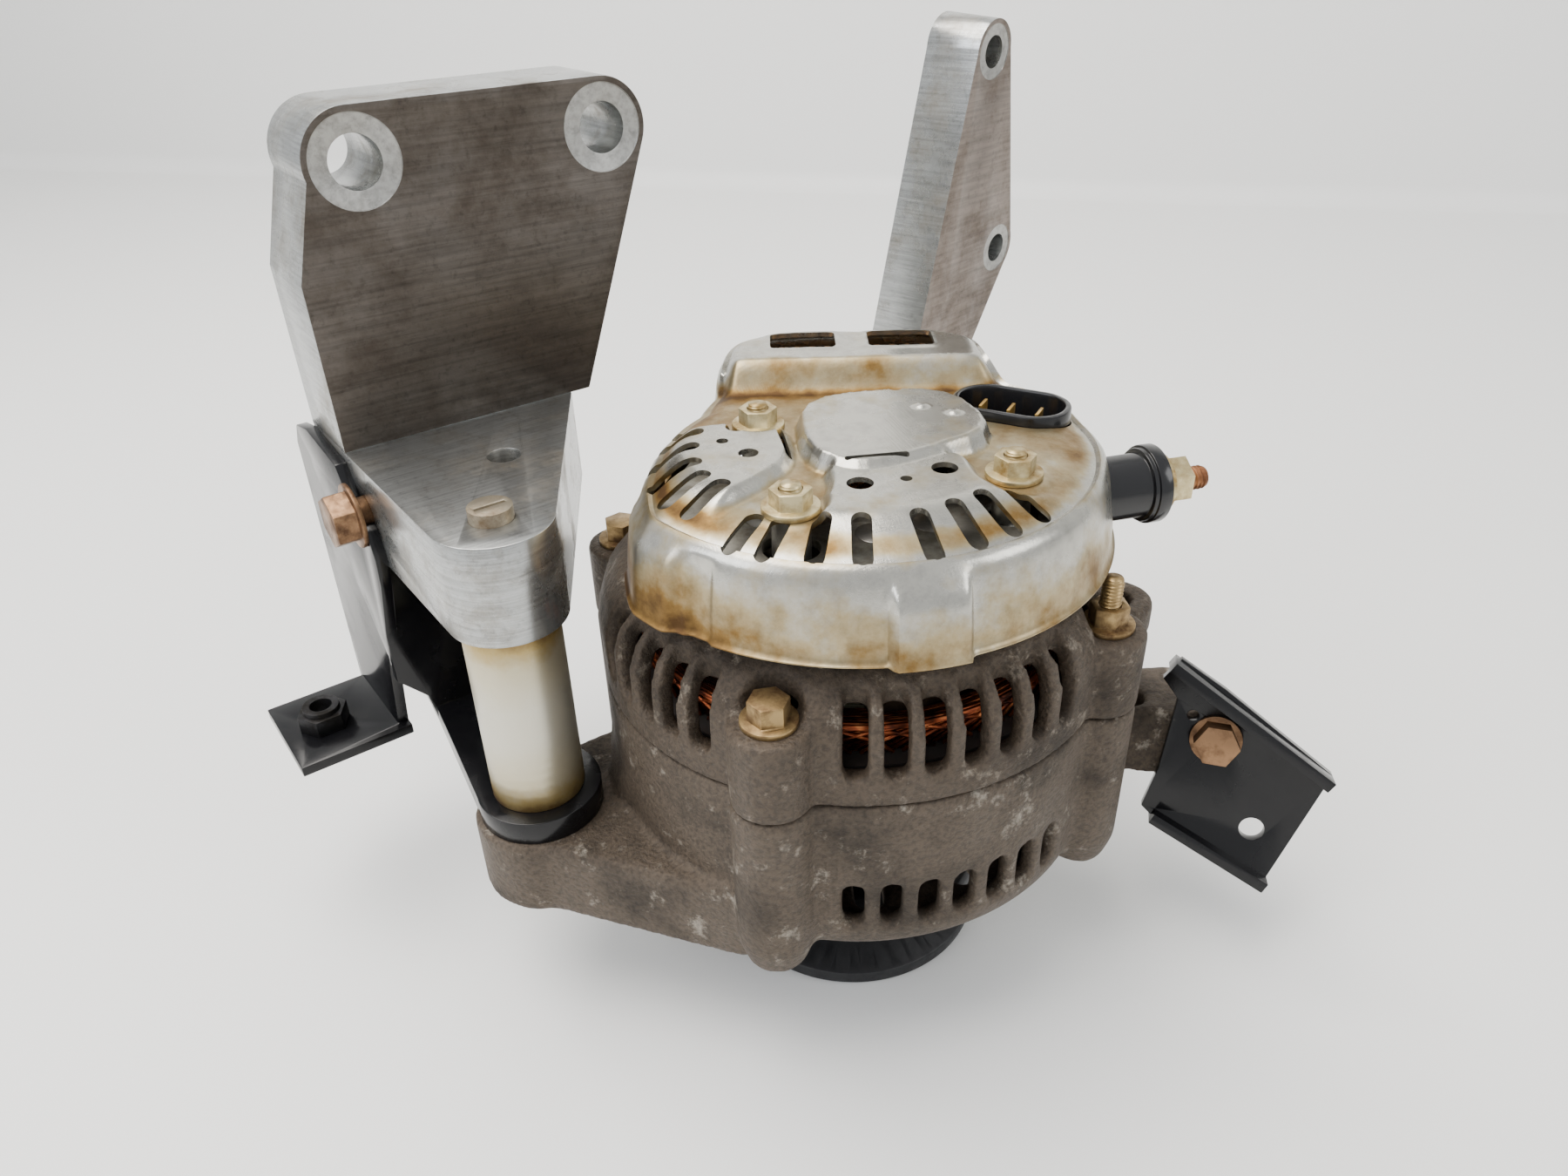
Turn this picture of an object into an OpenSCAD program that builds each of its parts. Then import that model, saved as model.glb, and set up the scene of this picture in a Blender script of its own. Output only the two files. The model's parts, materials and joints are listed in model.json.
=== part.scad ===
// Car alternator with its engine mounting brackets.
// +Z runs up the rotor shaft from the pulley to the rear cover.
// The origin is on the shaft axis, in the plane of the pulley's front rim.

/* [Pulley] */
// Outer radius of the pulley rim
pulley_r = 36.3; // [35:0.1:44]
// Width of the pulley rim
pulley_w = 22; // [20:0.5:24]
// Width of the belt groove at the rim
belt_w = 13; // [10:0.5:14]
// Depth of the belt groove
groove_depth = 8.5; // [7:0.5:9]

/* [Shaft and rotor] */
// Radius of the shaft in the front bearing
shaft_r = 8.5; // [8:0.1:9]
// Radius of the shaft in the rear bearing
tail_r = 6; // [5.5:0.1:6.5]
// Outer radius of the claw poles
rotor_r = 43.5; // [40:0.1:44]
// Number of claws on each pole piece
claw_count = 6; // [4:1:8]
// Gap between the rotor and the stator
air_gap = 0.5; // [0.3:0.1:0.8]

/* [Housing] */
// Outer radius of both frames
frame_r = 63.5; // [62:0.1:68]
// Wall of the frames
frame_wall = 4.5; // [4:0.1:5]
// Height of the joint between the two frames
split_z = 89.5; // [88:0.5:91]
// Height of the rear frame's deck
deck_z = 119.5; // [118.5:0.5:120]
// Width of a vent slot
slot_w = 5; // [4:0.1:5.5]
// Angle from one vent slot to the next
slot_pitch = 8; // [7.5:0.1:8.5]

/* [Through bolts] */
// How far inside the frame's skin the through bolts stand
bolt_inset = 0.7; // [0.5:0.1:1.2]
// Radius of the through bolts
through_r = 2.5; // [2.5:0.1:3]
// Radius of a through-bolt boss
boss_r = 9.3; // [8.5:0.1:9.5]
// Height of the bosses' seats
boss_top_z = 110.2; // [109:0.1:111]

/* [Rear cover] */
// Radius of the cover at its lip
cover_r = 62; // [61:0.1:63]
// Height of the cover's lip
cover_lip_z = 124.6; // [124:0.1:125]
// Height of the cover's crown
cover_top_z = 150.4; // [150:0.1:152]
// Height of the cover's raised ridge
ridge_top_z = 154.8; // [153.5:0.1:155]
// Thickness of the cover's sheet
cover_wall = 1.2; // [1:0.1:1.4]

/* [Swing mount] */
// Distance from the frame's skin to the middle of the pivot bolt
pivot_gap = 20.5; // [18:0.5:28]
// Radius of the pivot bolt
pivot_r = 5; // [5:0.1:5.5]
// Outer radius of the spacer tube
tube_r = 11.5; // [11:0.1:12]
// Length of the spacer tube
tube_len = 50.5; // [49:0.5:52]
// Thickness of the bracket eye on the pivot bolt
eye_t = 6.5; // [5:0.5:7]
// Radius of the cast pivot lug
lug_r = 17; // [16:0.5:18]
// Height of the cast pivot lug
lug_h = 22; // [20:0.5:23]
// Thickness of the pivot block
block_t = 25; // [20:0.5:26]

/* [Mounting plate] */
// Thickness of the mounting plate
plate_t = 25; // [20:0.5:26]
// Radius of the plate's fixing holes
plate_hole_r = 6.1; // [5.5:0.1:6.6]
// Distance between the plate's two holes
plate_hole_gap = 62; // [58:0.5:66]
// Height of the plate's holes above the block
plate_hole_h = 65.5; // [60:0.5:75]
// Radius of the plate's rounded corners
plate_corner_r = 12; // [11:0.5:13]

/* [Rear plate] */
// Thickness of the rear plate
rear_plate_t = 16.5; // [15:0.5:18]
// Radius of the rear plate's fixing holes
rear_hole_r = 4.1; // [3.5:0.1:4.5]
// Distance between the rear plate's two holes
rear_hole_gap = 58; // [55:0.5:62]

/* [Output terminal] */
// Radius of the battery stud
stud_r = 3; // [3:0.1:3.5]
// Outer radius of the insulating bush
bush_r = 9.2; // [8.5:0.1:9.5]

/* [Fits] */
// Radial clearance of a running fit
run_fit = 0.06; // [0.02:0.01:0.09]
// Radial clearance of a bolt in its hole
bolt_fit = 0.25; // [0.2:0.05:0.4]
// Radial clearance of a pressed or threaded seat
seat_fit = 0.02; // [0.01:0.01:0.03]
// Clearance between a brush and its guide
brush_fit = 0.1; // [0.05:0.05:0.2]
// Gap between a brush and its slip ring
brush_gap = 0.3; // [0.2:0.1:0.5]

/* [Hidden] */

$fn = 64;
// Axial stack of the drive end.
hub_z0 = pulley_w + 12;
front_seat_z = hub_z0 + 4.5;
front_bearing_w = 14;
front_race_r = 23.5;
front_ball_r = 4.76;
front_pitch_r = 16;
front_balls = 7;
retainer_z = front_seat_z + front_bearing_w;
retainer_t = 2;
// Axial stack of the rotor.
claw_z0 = 63;
disc_t = 8;
rotor_len = 40;
claw_z1 = claw_z0 + rotor_len;
claw_t = 6.5;
claw_tip_gap = 4;
fan_t = 1.2;
fan_blade_h = 5;
core_r = 15;
// Stator.
stator_z0 = 72;
stator_h = 24;
stator_z1 = stator_z0 + stator_h;
stator_in_r = rotor_r + air_gap;
stator_out_r = frame_r - frame_wall - 2;
frame_in_r = frame_r - frame_wall;
slot_count = 36;
slot_depth = 8;
wire_slot_w = 3.4;
// Rear bearing.
rear_bearing_w = 10;
rear_seat_z = 110.5;
rear_race_r = 16;
rear_ball_r = 2.98;
rear_pitch_r = 11;
rear_balls = 7;
cage_t = 1.2;
cage_rail = 1.2;
rear_hub_r = 20;
// Slip rings and brushes.
sleeve_r = tail_r + 1.3;
ring_r = sleeve_r + 1.7;
ring_w = 6;
ring_z = [130, 139.5];
tail_z = 145.5;
brush_w = 5.4;
brush_h = 5.8;
brush_len = 15;
brush_y = ring_r + brush_gap;
brush_travel = 4;
brush_bore_r = 2.2;
brush_bore = 9;
holder_y0 = 11.5;
holder_y1 = 31;
spring_r = 1.7;
spring_wire_r = 0.3;
spring_turns = 6;
// Places around the frames, as radii and angles.
bolt_ring_r = frame_r - bolt_inset;
pivot_x = frame_r + pivot_gap;
ear_hole_r = frame_r + 14.1;
bolt_angles = [-126.4, 144.7, 53];
stud_angle = -42.3;
cover_turn = -16.8;
ear_angle = -12.5;
head_pocket_r = 7.2;
// Cover fixings, in the cover's own turned frame.
cover_fix = [[-22.3, 6.1], [-15.4, -36.5], [32.8, -23.6]];
cover_nut_z = 147.4;
cover_fix_r = 2.5;
seat_cup_r = 7;
// Swing mount, in the block's own turned frame.
block_turn = 19.2;
lug_z1 = 59;
lug_z0 = lug_z1 - lug_h;
eye_z1 = lug_z1 + eye_t;
tube_z1 = eye_z1 + tube_len;
block_z1 = tube_z1 + block_t;
block_nose_r = 14;
eye_r = 15.5;
plate_y = 54.5;
steel_t = 3;
web_y = 46;
tab_z = 57;
weld_nut_at = [-33.4, 70.5];
flange_bolt_y = 46;
flange_bolt_z = block_z1 - 0.5 * block_t;
// Adjuster bracket: the middle of its bolt seat and the way that it faces.
seat_at = [frame_r + 27, -35.4, 61];
seat_azimuth = -125;
seat_rise = 17;
lower_ear_z = [47, 65];
lower_ear_r = frame_r + 26.5;
lower_ear_w = 13;
upper_ear_r = frame_r + 5;
upper_ear_w = 9.5;
// Rear plate, standing on a lug behind the rear frame.
rear_azimuth = 31.3;
rear_tilt = 4;
rear_out = frame_r + 37.305;
rear_bearing = 47.734;
rear_top = [rear_out * cos(rear_bearing), rear_out * sin(rear_bearing), 217.6];
rear_offset = 14.9;
rear_foot = -127;
rear_bolt_x = [-26, -12];
rear_bolt_z = -117;
rear_corner_r = 8.2;
// Battery terminal.
term_y = -22.5;
term_z = 136;
term_x = 51;
term_turn = -3;
bush_neck_r = bush_r - 1.7;
plug_top_z = 149.6;

module ring(r0, r1, z0, z1) {
  difference() {
    translate([0, 0, z0]) cylinder(r = r1, h = z1 - z0);
    translate([0, 0, z0 - 1]) cylinder(r = r0, h = z1 - z0 + 2);
  }
}
module rod(r, z0, z1) {
  translate([0, 0, z0]) cylinder(r = r, h = z1 - z0);
}
module hex(across, z0, z1) {
  translate([0, 0, z0]) cylinder(r = across / sqrt(3), h = z1 - z0, $fn = 6);
}
module polar(angle, r) {
  rotate([0, 0, angle]) translate([r, 0, 0]) children();
}
module bar(x0, x1, w, z0, z1) {
  translate([x0, -w / 2, z0]) cube([x1 - x0, w, z1 - z0]);
}
// Flanged hex head standing on z.
module flange_head(across, z, h) {
  rod(across * 0.78, z, z + 1.3);
  hex(across, z + 1.3, z + h);
}
// Radial wall slot from z0 to z1.
module wall_slot(w, z0, z1, r0, r1) {
  translate([r0, 0, z0 + w / 2]) rotate([0, 90, 0]) cylinder(r = w / 2, h = r1 - r0, $fn = 24);
  translate([r0, 0, z1 - w / 2]) rotate([0, 90, 0]) cylinder(r = w / 2, h = r1 - r0, $fn = 24);
  bar(r0, r1, w, z0 + w / 2, z1 - w / 2);
}
// Flat slot with round ends, lying along X.
module deck_slot(x0, x1, w, z0, z1) {
  for (x = [x0, x1]) translate([x, 0, z0]) cylinder(r = w / 2, h = z1 - z0, $fn = 24);
  bar(x0, x1, w, z0, z1);
}
module at_cover() {
  rotate([0, 0, cover_turn]) children();
}
module at_pivot() {
  translate([-pivot_x, 0, 0]) rotate([0, 0, block_turn]) children();
}
module at_seat() {
  translate(seat_at) rotate([0, 0, seat_azimuth + 90]) rotate([-seat_rise, 0, 0]) children();
}
module at_rear_plate() {
  translate(rear_top) rotate([0, 0, rear_azimuth]) rotate([rear_tilt, 0, 0]) children();
}
// Point where the line from p touches the circle about c; side is 1 or -1.
function tangent(c, r, p, side) = let (d = p - c,
  a = atan2(d[1], d[0]) + side * acos(r / norm(d))) c + r * [cos(a), sin(a)];
// Angles of the vent slots in the open stretches between bosses.
drive_slots = concat(
  [for (k = [0:6]) -110 + k * slot_pitch],
  [for (k = [0:6]) 71 + k * slot_pitch],
  [for (k = [0:2]) 11 + k * slot_pitch]);
rear_slots = concat(
  [for (k = [0:6]) -110 + k * slot_pitch],
  [for (k = [0:4]) -174 + k * slot_pitch],
  [for (k = [0:6]) 71 + k * slot_pitch],
  [for (k = [0:2]) 11 + k * slot_pitch]);

module drive_end_frame() {
  color("#8a8073") difference() {
    union() {
      rotate_extrude($fn = 96) polygon([
        [0, hub_z0], [27, hub_z0], [28, hub_z0 + 1], [29, 41], [frame_r - 9.5, 42],
        [frame_r - 4.5, 43.5], [frame_r - 1.2, 47.5], [frame_r, 52],
        [frame_r, split_z + 1], [0, split_z + 1]]);
      for (a = concat(bolt_angles, [stud_angle])) polar(a, bolt_ring_r) {
        rod(boss_r, 49, split_z + 1);
        translate([0, 0, 42]) cylinder(r1 = boss_r - 2, r2 = boss_r, h = 7);
      }
      pivot_lug();
      lower_ear();
    }
    translate([0, 0, split_z]) cylinder(r = 2 * frame_r, h = 20);
    rotate_extrude($fn = 96) polygon([
      [0, hub_z0 - 1], [18, hub_z0 - 1], [18, front_seat_z], [front_race_r, front_seat_z],
      [front_race_r, retainer_z], [32, retainer_z], [33, 46],
      [frame_in_r - 7, 47], [frame_in_r - 2, 49.5],
      [frame_in_r, 55], [frame_in_r, stator_z0], [stator_out_r, stator_z0],
      [stator_out_r, split_z + 2], [0, split_z + 2]]);
    for (a = drive_slots) rotate([0, 0, a])
      wall_slot(slot_w, 53, 66, frame_in_r - 4, frame_r + 3);
    for (k = [0:11]) rotate([0, 0, k * 30 + 15]) deck_slot(37, 48, 7, 40, 50);
    for (a = concat(bolt_angles, [stud_angle])) polar(a, bolt_ring_r)
      rod(through_r + seat_fit, 41, split_z + 1);
    translate([-pivot_x, 0, 0]) rod(pivot_r + run_fit, lug_z0 - 1, lug_z1 + 1);
    rotate([0, 0, ear_angle]) translate([ear_hole_r, 0, 0]) rod(4, 40, 70);
    at_seat() {
      rotate([90, 0, 0]) translate([0, 0, -16]) cylinder(r = 3 + seat_fit, h = 20);
      translate([-22, -14, -45]) cube([60, 14, 68]);
    }
    for (k = [0:3]) rotate([0, 0, k * 90 + 30]) translate([27.5, 0, 0])
      rod(1.5 + seat_fit, retainer_z - 6, retainer_z + 1);
  }
}
// Cast arm that carries the pivot bolt, with its rising web.
module pivot_lug() {
  translate([-pivot_x, 0, 0]) rod(lug_r, lug_z0, lug_z1);
  translate([0, 0, lug_z0]) linear_extrude(lug_h) polygon([
    [-pivot_x - 1.5, -lug_r], [-46, -46], [-30, -52], [-48, 30], [-60, 24],
    [-pivot_x + 1, lug_r]]);
  hull() {
    translate([-60, 0, lug_z1 - 6]) cylinder(r = 7, h = 2, $fn = 32);
    polar(180, frame_r - 7.7) translate([0, 0, lug_z0 + 6]) cylinder(r = 7, h = 2, $fn = 32);
    polar(160, frame_r - 5.7) translate([0, 0, split_z - 8]) cylinder(r = 5, h = 6, $fn = 32);
    polar(-160, frame_r - 5.7) translate([0, 0, split_z - 12]) cylinder(r = 5, h = 6, $fn = 32);
  }
}
module lower_ear() {
  ear_h = lower_ear_z[1] - lower_ear_z[0];
  rotate([0, 0, ear_angle]) {
    translate([lower_ear_r, 0, lower_ear_z[0]]) cylinder(r = lower_ear_w, h = ear_h);
    bar(frame_r - 6, lower_ear_r, 2 * lower_ear_w, lower_ear_z[0], lower_ear_z[1]);
  }
  at_seat() rotate([90, 0, 0]) translate([0, 0, -12]) cylinder(r = 8, h = 12);
}

module rear_end_frame() {
  color("#857b6e") difference() {
    union() {
      rotate_extrude($fn = 96) polygon([
        [0, split_z - 1], [frame_r, split_z - 1], [frame_r, 107], [frame_r - 2, 113],
        [frame_r - 6, 117.5], [frame_r - 10.5, deck_z], [rear_hub_r, deck_z], [rear_hub_r, 122], [0, 122]]);
      for (a = concat(bolt_angles, [stud_angle])) polar(a, bolt_ring_r)
        rod(boss_r, split_z - 1, boss_top_z);
      for (p = cover_fix) at_cover() translate(p) rod(5.5, 116, deck_z + 3);
      rotate([0, 0, ear_angle - 1]) {
        translate([upper_ear_r, 0, split_z - 1]) cylinder(r = upper_ear_w, h = 10);
        bar(frame_r - 5, upper_ear_r, 2 * upper_ear_w, split_z - 1, split_z + 9);
      }
      rear_lug();
    }
    translate([0, 0, split_z - 20]) cylinder(r = 2 * frame_r, h = 20);
    rotate_extrude($fn = 96) polygon([
      [0, split_z - 2], [stator_out_r, split_z - 2], [stator_out_r, stator_z1],
      [frame_in_r, stator_z1], [frame_in_r, 105], [frame_in_r - 2, 111],
      [frame_in_r - 7, 114.5],
      [rear_hub_r, 114.5], [rear_hub_r, rear_seat_z - 2], [rear_race_r, rear_seat_z - 2],
      [rear_race_r, rear_seat_z + rear_bearing_w], [13, rear_seat_z + rear_bearing_w],
      [13, 124], [0, 124]]);
    for (a = rear_slots) rotate([0, 0, a])
      wall_slot(slot_w + 0.3, 96.7, 119, frame_in_r - 2.5, frame_r + 3);
    for (k = [0:15]) rotate([0, 0, k * 22.5 + 4]) deck_slot(29, 46, 5, 110, 121);
    for (a = concat(bolt_angles, [stud_angle])) polar(a, bolt_ring_r)
{
      rod(through_r + bolt_fit, 85, 115);
      rod(head_pocket_r, boss_top_z, deck_z);
    }
    for (p = cover_fix) at_cover() translate(p)
      rod(cover_fix_r + seat_fit, deck_z - 4, deck_z + 4);
    rotate([0, 0, ear_angle - 1]) translate([upper_ear_r, 0, 0]) rod(4, 80, 105);
    rear_bolt_holes(3 + seat_fit);
  }
}
module rear_lug() {
  at_rear_plate() translate([-50, -18, rear_foot + 2]) cube([47, 18, 17]);
}
module rear_bolt_holes(r) {
  at_rear_plate() for (x = rear_bolt_x) translate([x, -11, rear_bolt_z]) rotate([-90, 0, 0])
    cylinder(r = r, h = rear_plate_t + 13);
}

module stator_core() {
  color("#5b5a58") difference() {
    ring(stator_in_r, stator_out_r - seat_fit, stator_z0, stator_z1);
    for (k = [0:slot_count - 1]) rotate([0, 0, k * 360 / slot_count])
      bar(stator_in_r - 1, stator_in_r + slot_depth, wire_slot_w, stator_z0 - 1, stator_z1 + 1);
  }
}
module stator_windings() {
  r0 = stator_in_r + 0.8;
  r1 = stator_in_r + slot_depth - 0.6;
  color("#b0653a") {
    for (s = [[stator_z0 - 9, stator_z0 - 0.4], [stator_z1 + 0.4, stator_z1 + 9]])
      rotate_extrude($fn = 96) polygon([
        [r0, s[0] + 1.5], [r0 + 1.5, s[0]], [r1 + 1.5, s[0]], [r1 + 3, s[0] + 1.5],
        [r1 + 3, s[1] - 1], [r1 + 2, s[1]], [r0 + 1, s[1]], [r0, s[1] - 1]]);
    for (k = [0:slot_count - 1]) rotate([0, 0, k * 360 / slot_count])
      bar(r0 + 1, r1, wire_slot_w - 0.6, stator_z0 - 1, stator_z1 + 1);
  }
}

module through_bolts() {
  color("#b39a6a") for (a = bolt_angles) polar(a, bolt_ring_r) {
    rod(through_r, 46, boss_top_z + 1);
    flange_head(8, boss_top_z, 6);
  }
}
module through_stud() {
  color("#8c7a5a") polar(stud_angle, bolt_ring_r) rod(through_r, 46, boss_top_z + 13);
}
module through_stud_nut() {
  color("#b39a6a") polar(stud_angle, bolt_ring_r) difference() {
    flange_head(8, boss_top_z, 6);
    rod(through_r + seat_fit, boss_top_z - 1, boss_top_z + 8);
  }
}

module bearing_retainer() {
  color("#a7a39a") difference() {
    ring(15, 31, retainer_z, retainer_z + retainer_t);
    for (k = [0:3]) rotate([0, 0, k * 90 + 30]) translate([27.5, 0, 0])
      rod(1.5 + bolt_fit, retainer_z - 1, retainer_z + 4);
  }
}
module retainer_screws() {
  color("#9a8f78") for (k = [0:3]) rotate([0, 0, k * 90 + 30]) translate([27.5, 0, 0]) {
    rod(1.5, retainer_z - 5, retainer_z + retainer_t + 0.5);
    difference() {
      rod(2.8, retainer_z + retainer_t, retainer_z + retainer_t + 1.4);
      bar(-3, 3, 0.7, retainer_z + retainer_t + 0.9, retainer_z + retainer_t + 2);
    }
  }
}

// Races, balls and cage of a deep-groove bearing that starts at z0.
module race(r0, r1, z0, w, pitch, ball) {
  difference() {
    ring(r0, r1, z0, z0 + w);
    translate([0, 0, z0 + w / 2]) rotate_extrude() translate([pitch, 0])
      circle(r = ball + run_fit, $fn = 32);
  }
}
module balls(count, z0, w, pitch, ball) {
  for (k = [0:count - 1]) rotate([0, 0, k * 360 / count])
    translate([pitch, 0, z0 + w / 2]) sphere(r = ball, $fn = 32);
}
module cage(count, z0, w, pitch, ball) {
  difference() {
    ring(pitch - cage_t, pitch + cage_t, z0 + w / 2 - ball - cage_rail,
      z0 + w / 2 + ball + cage_rail);
    for (k = [0:count - 1]) rotate([0, 0, k * 360 / count])
      translate([pitch, 0, z0 + w / 2]) rotate([0, 90, 0])
        cylinder(r = ball + run_fit, h = 6, center = true, $fn = 32);
  }
}
module front_bearing_outer() {
  color("#b9bcc0") race(front_pitch_r + 3, front_race_r - seat_fit, front_seat_z,
    front_bearing_w, front_pitch_r, front_ball_r);
}
module front_bearing_inner() {
  color("#c4c7ca") race(shaft_r + seat_fit, front_pitch_r - 3, front_seat_z,
    front_bearing_w, front_pitch_r, front_ball_r);
}
module front_bearing_balls() {
  color("#d8dadc") balls(front_balls, front_seat_z, front_bearing_w, front_pitch_r, front_ball_r);
}
module front_bearing_cage() {
  color("#a8834a") cage(front_balls, front_seat_z, front_bearing_w, front_pitch_r, front_ball_r);
}
module rear_bearing_outer() {
  color("#b9bcc0") race(rear_pitch_r + 2, rear_race_r - seat_fit, rear_seat_z,
    rear_bearing_w, rear_pitch_r, rear_ball_r);
}
module rear_bearing_inner() {
  color("#c4c7ca") race(tail_r + seat_fit, rear_pitch_r - 2, rear_seat_z,
    rear_bearing_w, rear_pitch_r, rear_ball_r);
}
module rear_bearing_balls() {
  color("#d8dadc") balls(rear_balls, rear_seat_z, rear_bearing_w, rear_pitch_r, rear_ball_r);
}
module rear_bearing_cage() {
  color("#a8834a") cage(rear_balls, rear_seat_z, rear_bearing_w, rear_pitch_r, rear_ball_r);
}

module rotor_shaft() {
  color("#9b9b98") rotate_extrude() polygon([
    [0, 1.2], [6.2, 1.2], [7, 2], [7, 11.6], [shaft_r, 11.6], [shaft_r, retainer_z + 1],
    [9.5, retainer_z + 1], [9.5, 105], [tail_r + 1, 105], [tail_r + 1, rear_seat_z],
    [tail_r, rear_seat_z], [tail_r, tail_z], [0, tail_z]]);
}
// One pole piece: a disc, half of the core and its tapering claws.
module claw_pole(z) {
  difference() {
    union() {
      rod(27, z, z + disc_t);
      rod(core_r, z, z + rotor_len / 2);
      for (k = [0:claw_count - 1]) rotate([0, 0, k * 360 / claw_count])
        intersection() {
          ring(24, rotor_r, z, z + rotor_len - claw_tip_gap);
          union() {
            bar(20, rotor_r + 1, 19, z, z + disc_t);
            translate([rotor_r - claw_t, 0, z]) rotate([90, 0, 90])
              linear_extrude(claw_t + 1) polygon([
                [-9.5, 0], [9.5, 0], [9.5, disc_t], [3.8, rotor_len - claw_tip_gap],
                [-3.8, rotor_len - claw_tip_gap], [-9.5, disc_t]]);
          }
        }
    }
    rod(9.5 + seat_fit, z - 1, z + rotor_len);
  }
}
module claw_pole_front() {
  color("#6d5a4a") claw_pole(claw_z0);
}
module claw_pole_rear() {
  color("#6d5a4a") translate([0, 0, claw_z0 + claw_z1]) mirror([0, 0, 1])
    rotate([0, 0, 180 / claw_count]) claw_pole(claw_z0);
}
module coil_bobbin() {
  z0 = claw_z0 + disc_t + 0.3;
  z1 = claw_z1 - disc_t - 0.3;
  color("#d8d2bd") {
    ring(core_r + seat_fit, core_r + 1.2, z0, z1);
    ring(core_r + 1, 34, z0, z0 + 1);
    ring(core_r + 1, 34, z1 - 1, z1);
  }
}
module field_coil() {
  color("#a4552e") ring(core_r + 1.2 + seat_fit, 33, claw_z0 + disc_t + 1.3 + seat_fit,
    claw_z1 - disc_t - 1.3 - seat_fit);
}
module fan(blades, lean) {
  difference() {
    union() {
      rod(40, 0, fan_t);
      for (k = [0:blades - 1]) rotate([0, 0, k * 360 / blades]) translate([34, 0, 0])
        rotate([0, 0, lean]) translate([-8, -0.6, 0]) cube([16, 1.2, fan_blade_h + fan_t]);
    }
    rod(9.5 + seat_fit, -1, fan_t + 1);
    for (k = [0:5]) rotate([0, 0, k * 60 + 15]) deck_slot(17, 22, 5, -1, fan_t + 1);
  }
}
module front_fan() {
  color("#55565a") translate([0, 0, claw_z0]) mirror([0, 0, 1]) fan(9, 30);
}
module rear_fan() {
  color("#55565a") translate([0, 0, claw_z1]) fan(11, 35);
}
module slip_ring_sleeve() {
  color("#3a2f2a") difference() {
    rod(sleeve_r, 122.6, tail_z - 0.4);
    rod(tail_r + seat_fit, 120, tail_z + 1);
  }
}
module slip_rings() {
  color("#c98552") for (z = ring_z)
    ring(sleeve_r + seat_fit, ring_r, z - ring_w / 2, z + ring_w / 2);
}
module spacer_collar() {
  color("#8f8f8c") ring(shaft_r + seat_fit, 12.4, pulley_w + 7, front_seat_z);
}
module pulley() {
  g0 = 0.5 * (pulley_w - belt_w);
  g1 = g0 + belt_w;
  inset = groove_depth * tan(19);
  root_r = pulley_r - groove_depth;
  recess_r = root_r - 3;
  color("#1c1c1e") rotate_extrude($fn = 128) polygon([
    [shaft_r + seat_fit, 11.4], [recess_r - 1, 11.4], [recess_r, 9.6], [recess_r + 1, 0],
    [pulley_r - 1, 0], [pulley_r, 1], [pulley_r, g0], [root_r, g0 + inset],
    [root_r, g1 - inset], [pulley_r, g1], [pulley_r, pulley_w - 1],
    [pulley_r - 1, pulley_w], [recess_r + 1, pulley_w], [recess_r, 15.5],
    [15, 14.5], [14, pulley_w + 7], [shaft_r + seat_fit, pulley_w + 7]]);
}
module pulley_washer() {
  color("#a9a9a4") ring(7 + bolt_fit, 12.5, 9.6, 11.4);
}
module pulley_nut() {
  color("#a08f62") difference() {
    hex(21, 1.6, 9.6);
    rod(7 + seat_fit, 1, 10);
  }
}

// Outline of the cover in its own turned frame, drawn in by an inset.
module cover_outline(inset) {
  difference() {
    union() {
      circle(r = cover_r - inset, $fn = 96);
      intersection() {
        translate([-32 + inset, 0]) square([70 - 2 * inset, 60 - inset]);
        circle(r = 67 - inset, $fn = 96);
      }
    }
    translate([-80 - 50 + inset, -70]) square([80, 140]);
    rotate([0, 0, 163]) translate([43.5 - inset, -70]) square([40, 140]);
  }
}
// Solid envelope of the cover; the sheet is the difference of two of these.
module cover_body(inset) {
  intersection() {
    rotate_extrude($fn = 96) polygon([
      [0, cover_lip_z - 1 * sign(inset)], [70, cover_lip_z - 1 * sign(inset)],
      [70, cover_lip_z], [67 - inset, cover_lip_z],
      [63.4 - inset, 139], [57.6 - inset, 145.8 - inset / 2],
      [52, cover_top_z - 3 - inset], [44, cover_top_z - 1.6 - inset],
      [30, cover_top_z - inset], [0, cover_top_z - inset]]);
    linear_extrude(200) cover_outline(inset);
  }
  intersection() {
    translate([-31 + inset, 32 + inset, 130])
      cube([68 - 2 * inset, 27.5 - 2 * inset, ridge_top_z - inset - 130]);
    linear_extrude(200) cover_outline(inset);
  }
}
cover_slots = [[-120, 50.5], [-112.5, 50.5], [-102, 49.6], [-92, 49.6], [-77, 49.6],
  [-66.5, 48.6], [-57, 48.3], [-47.5, 48.2], [-136, 46], [-144.5, 46.5], [-154, 45],
  [-166, 43], [-178, 41.3], [172, 41.5]];
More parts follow.
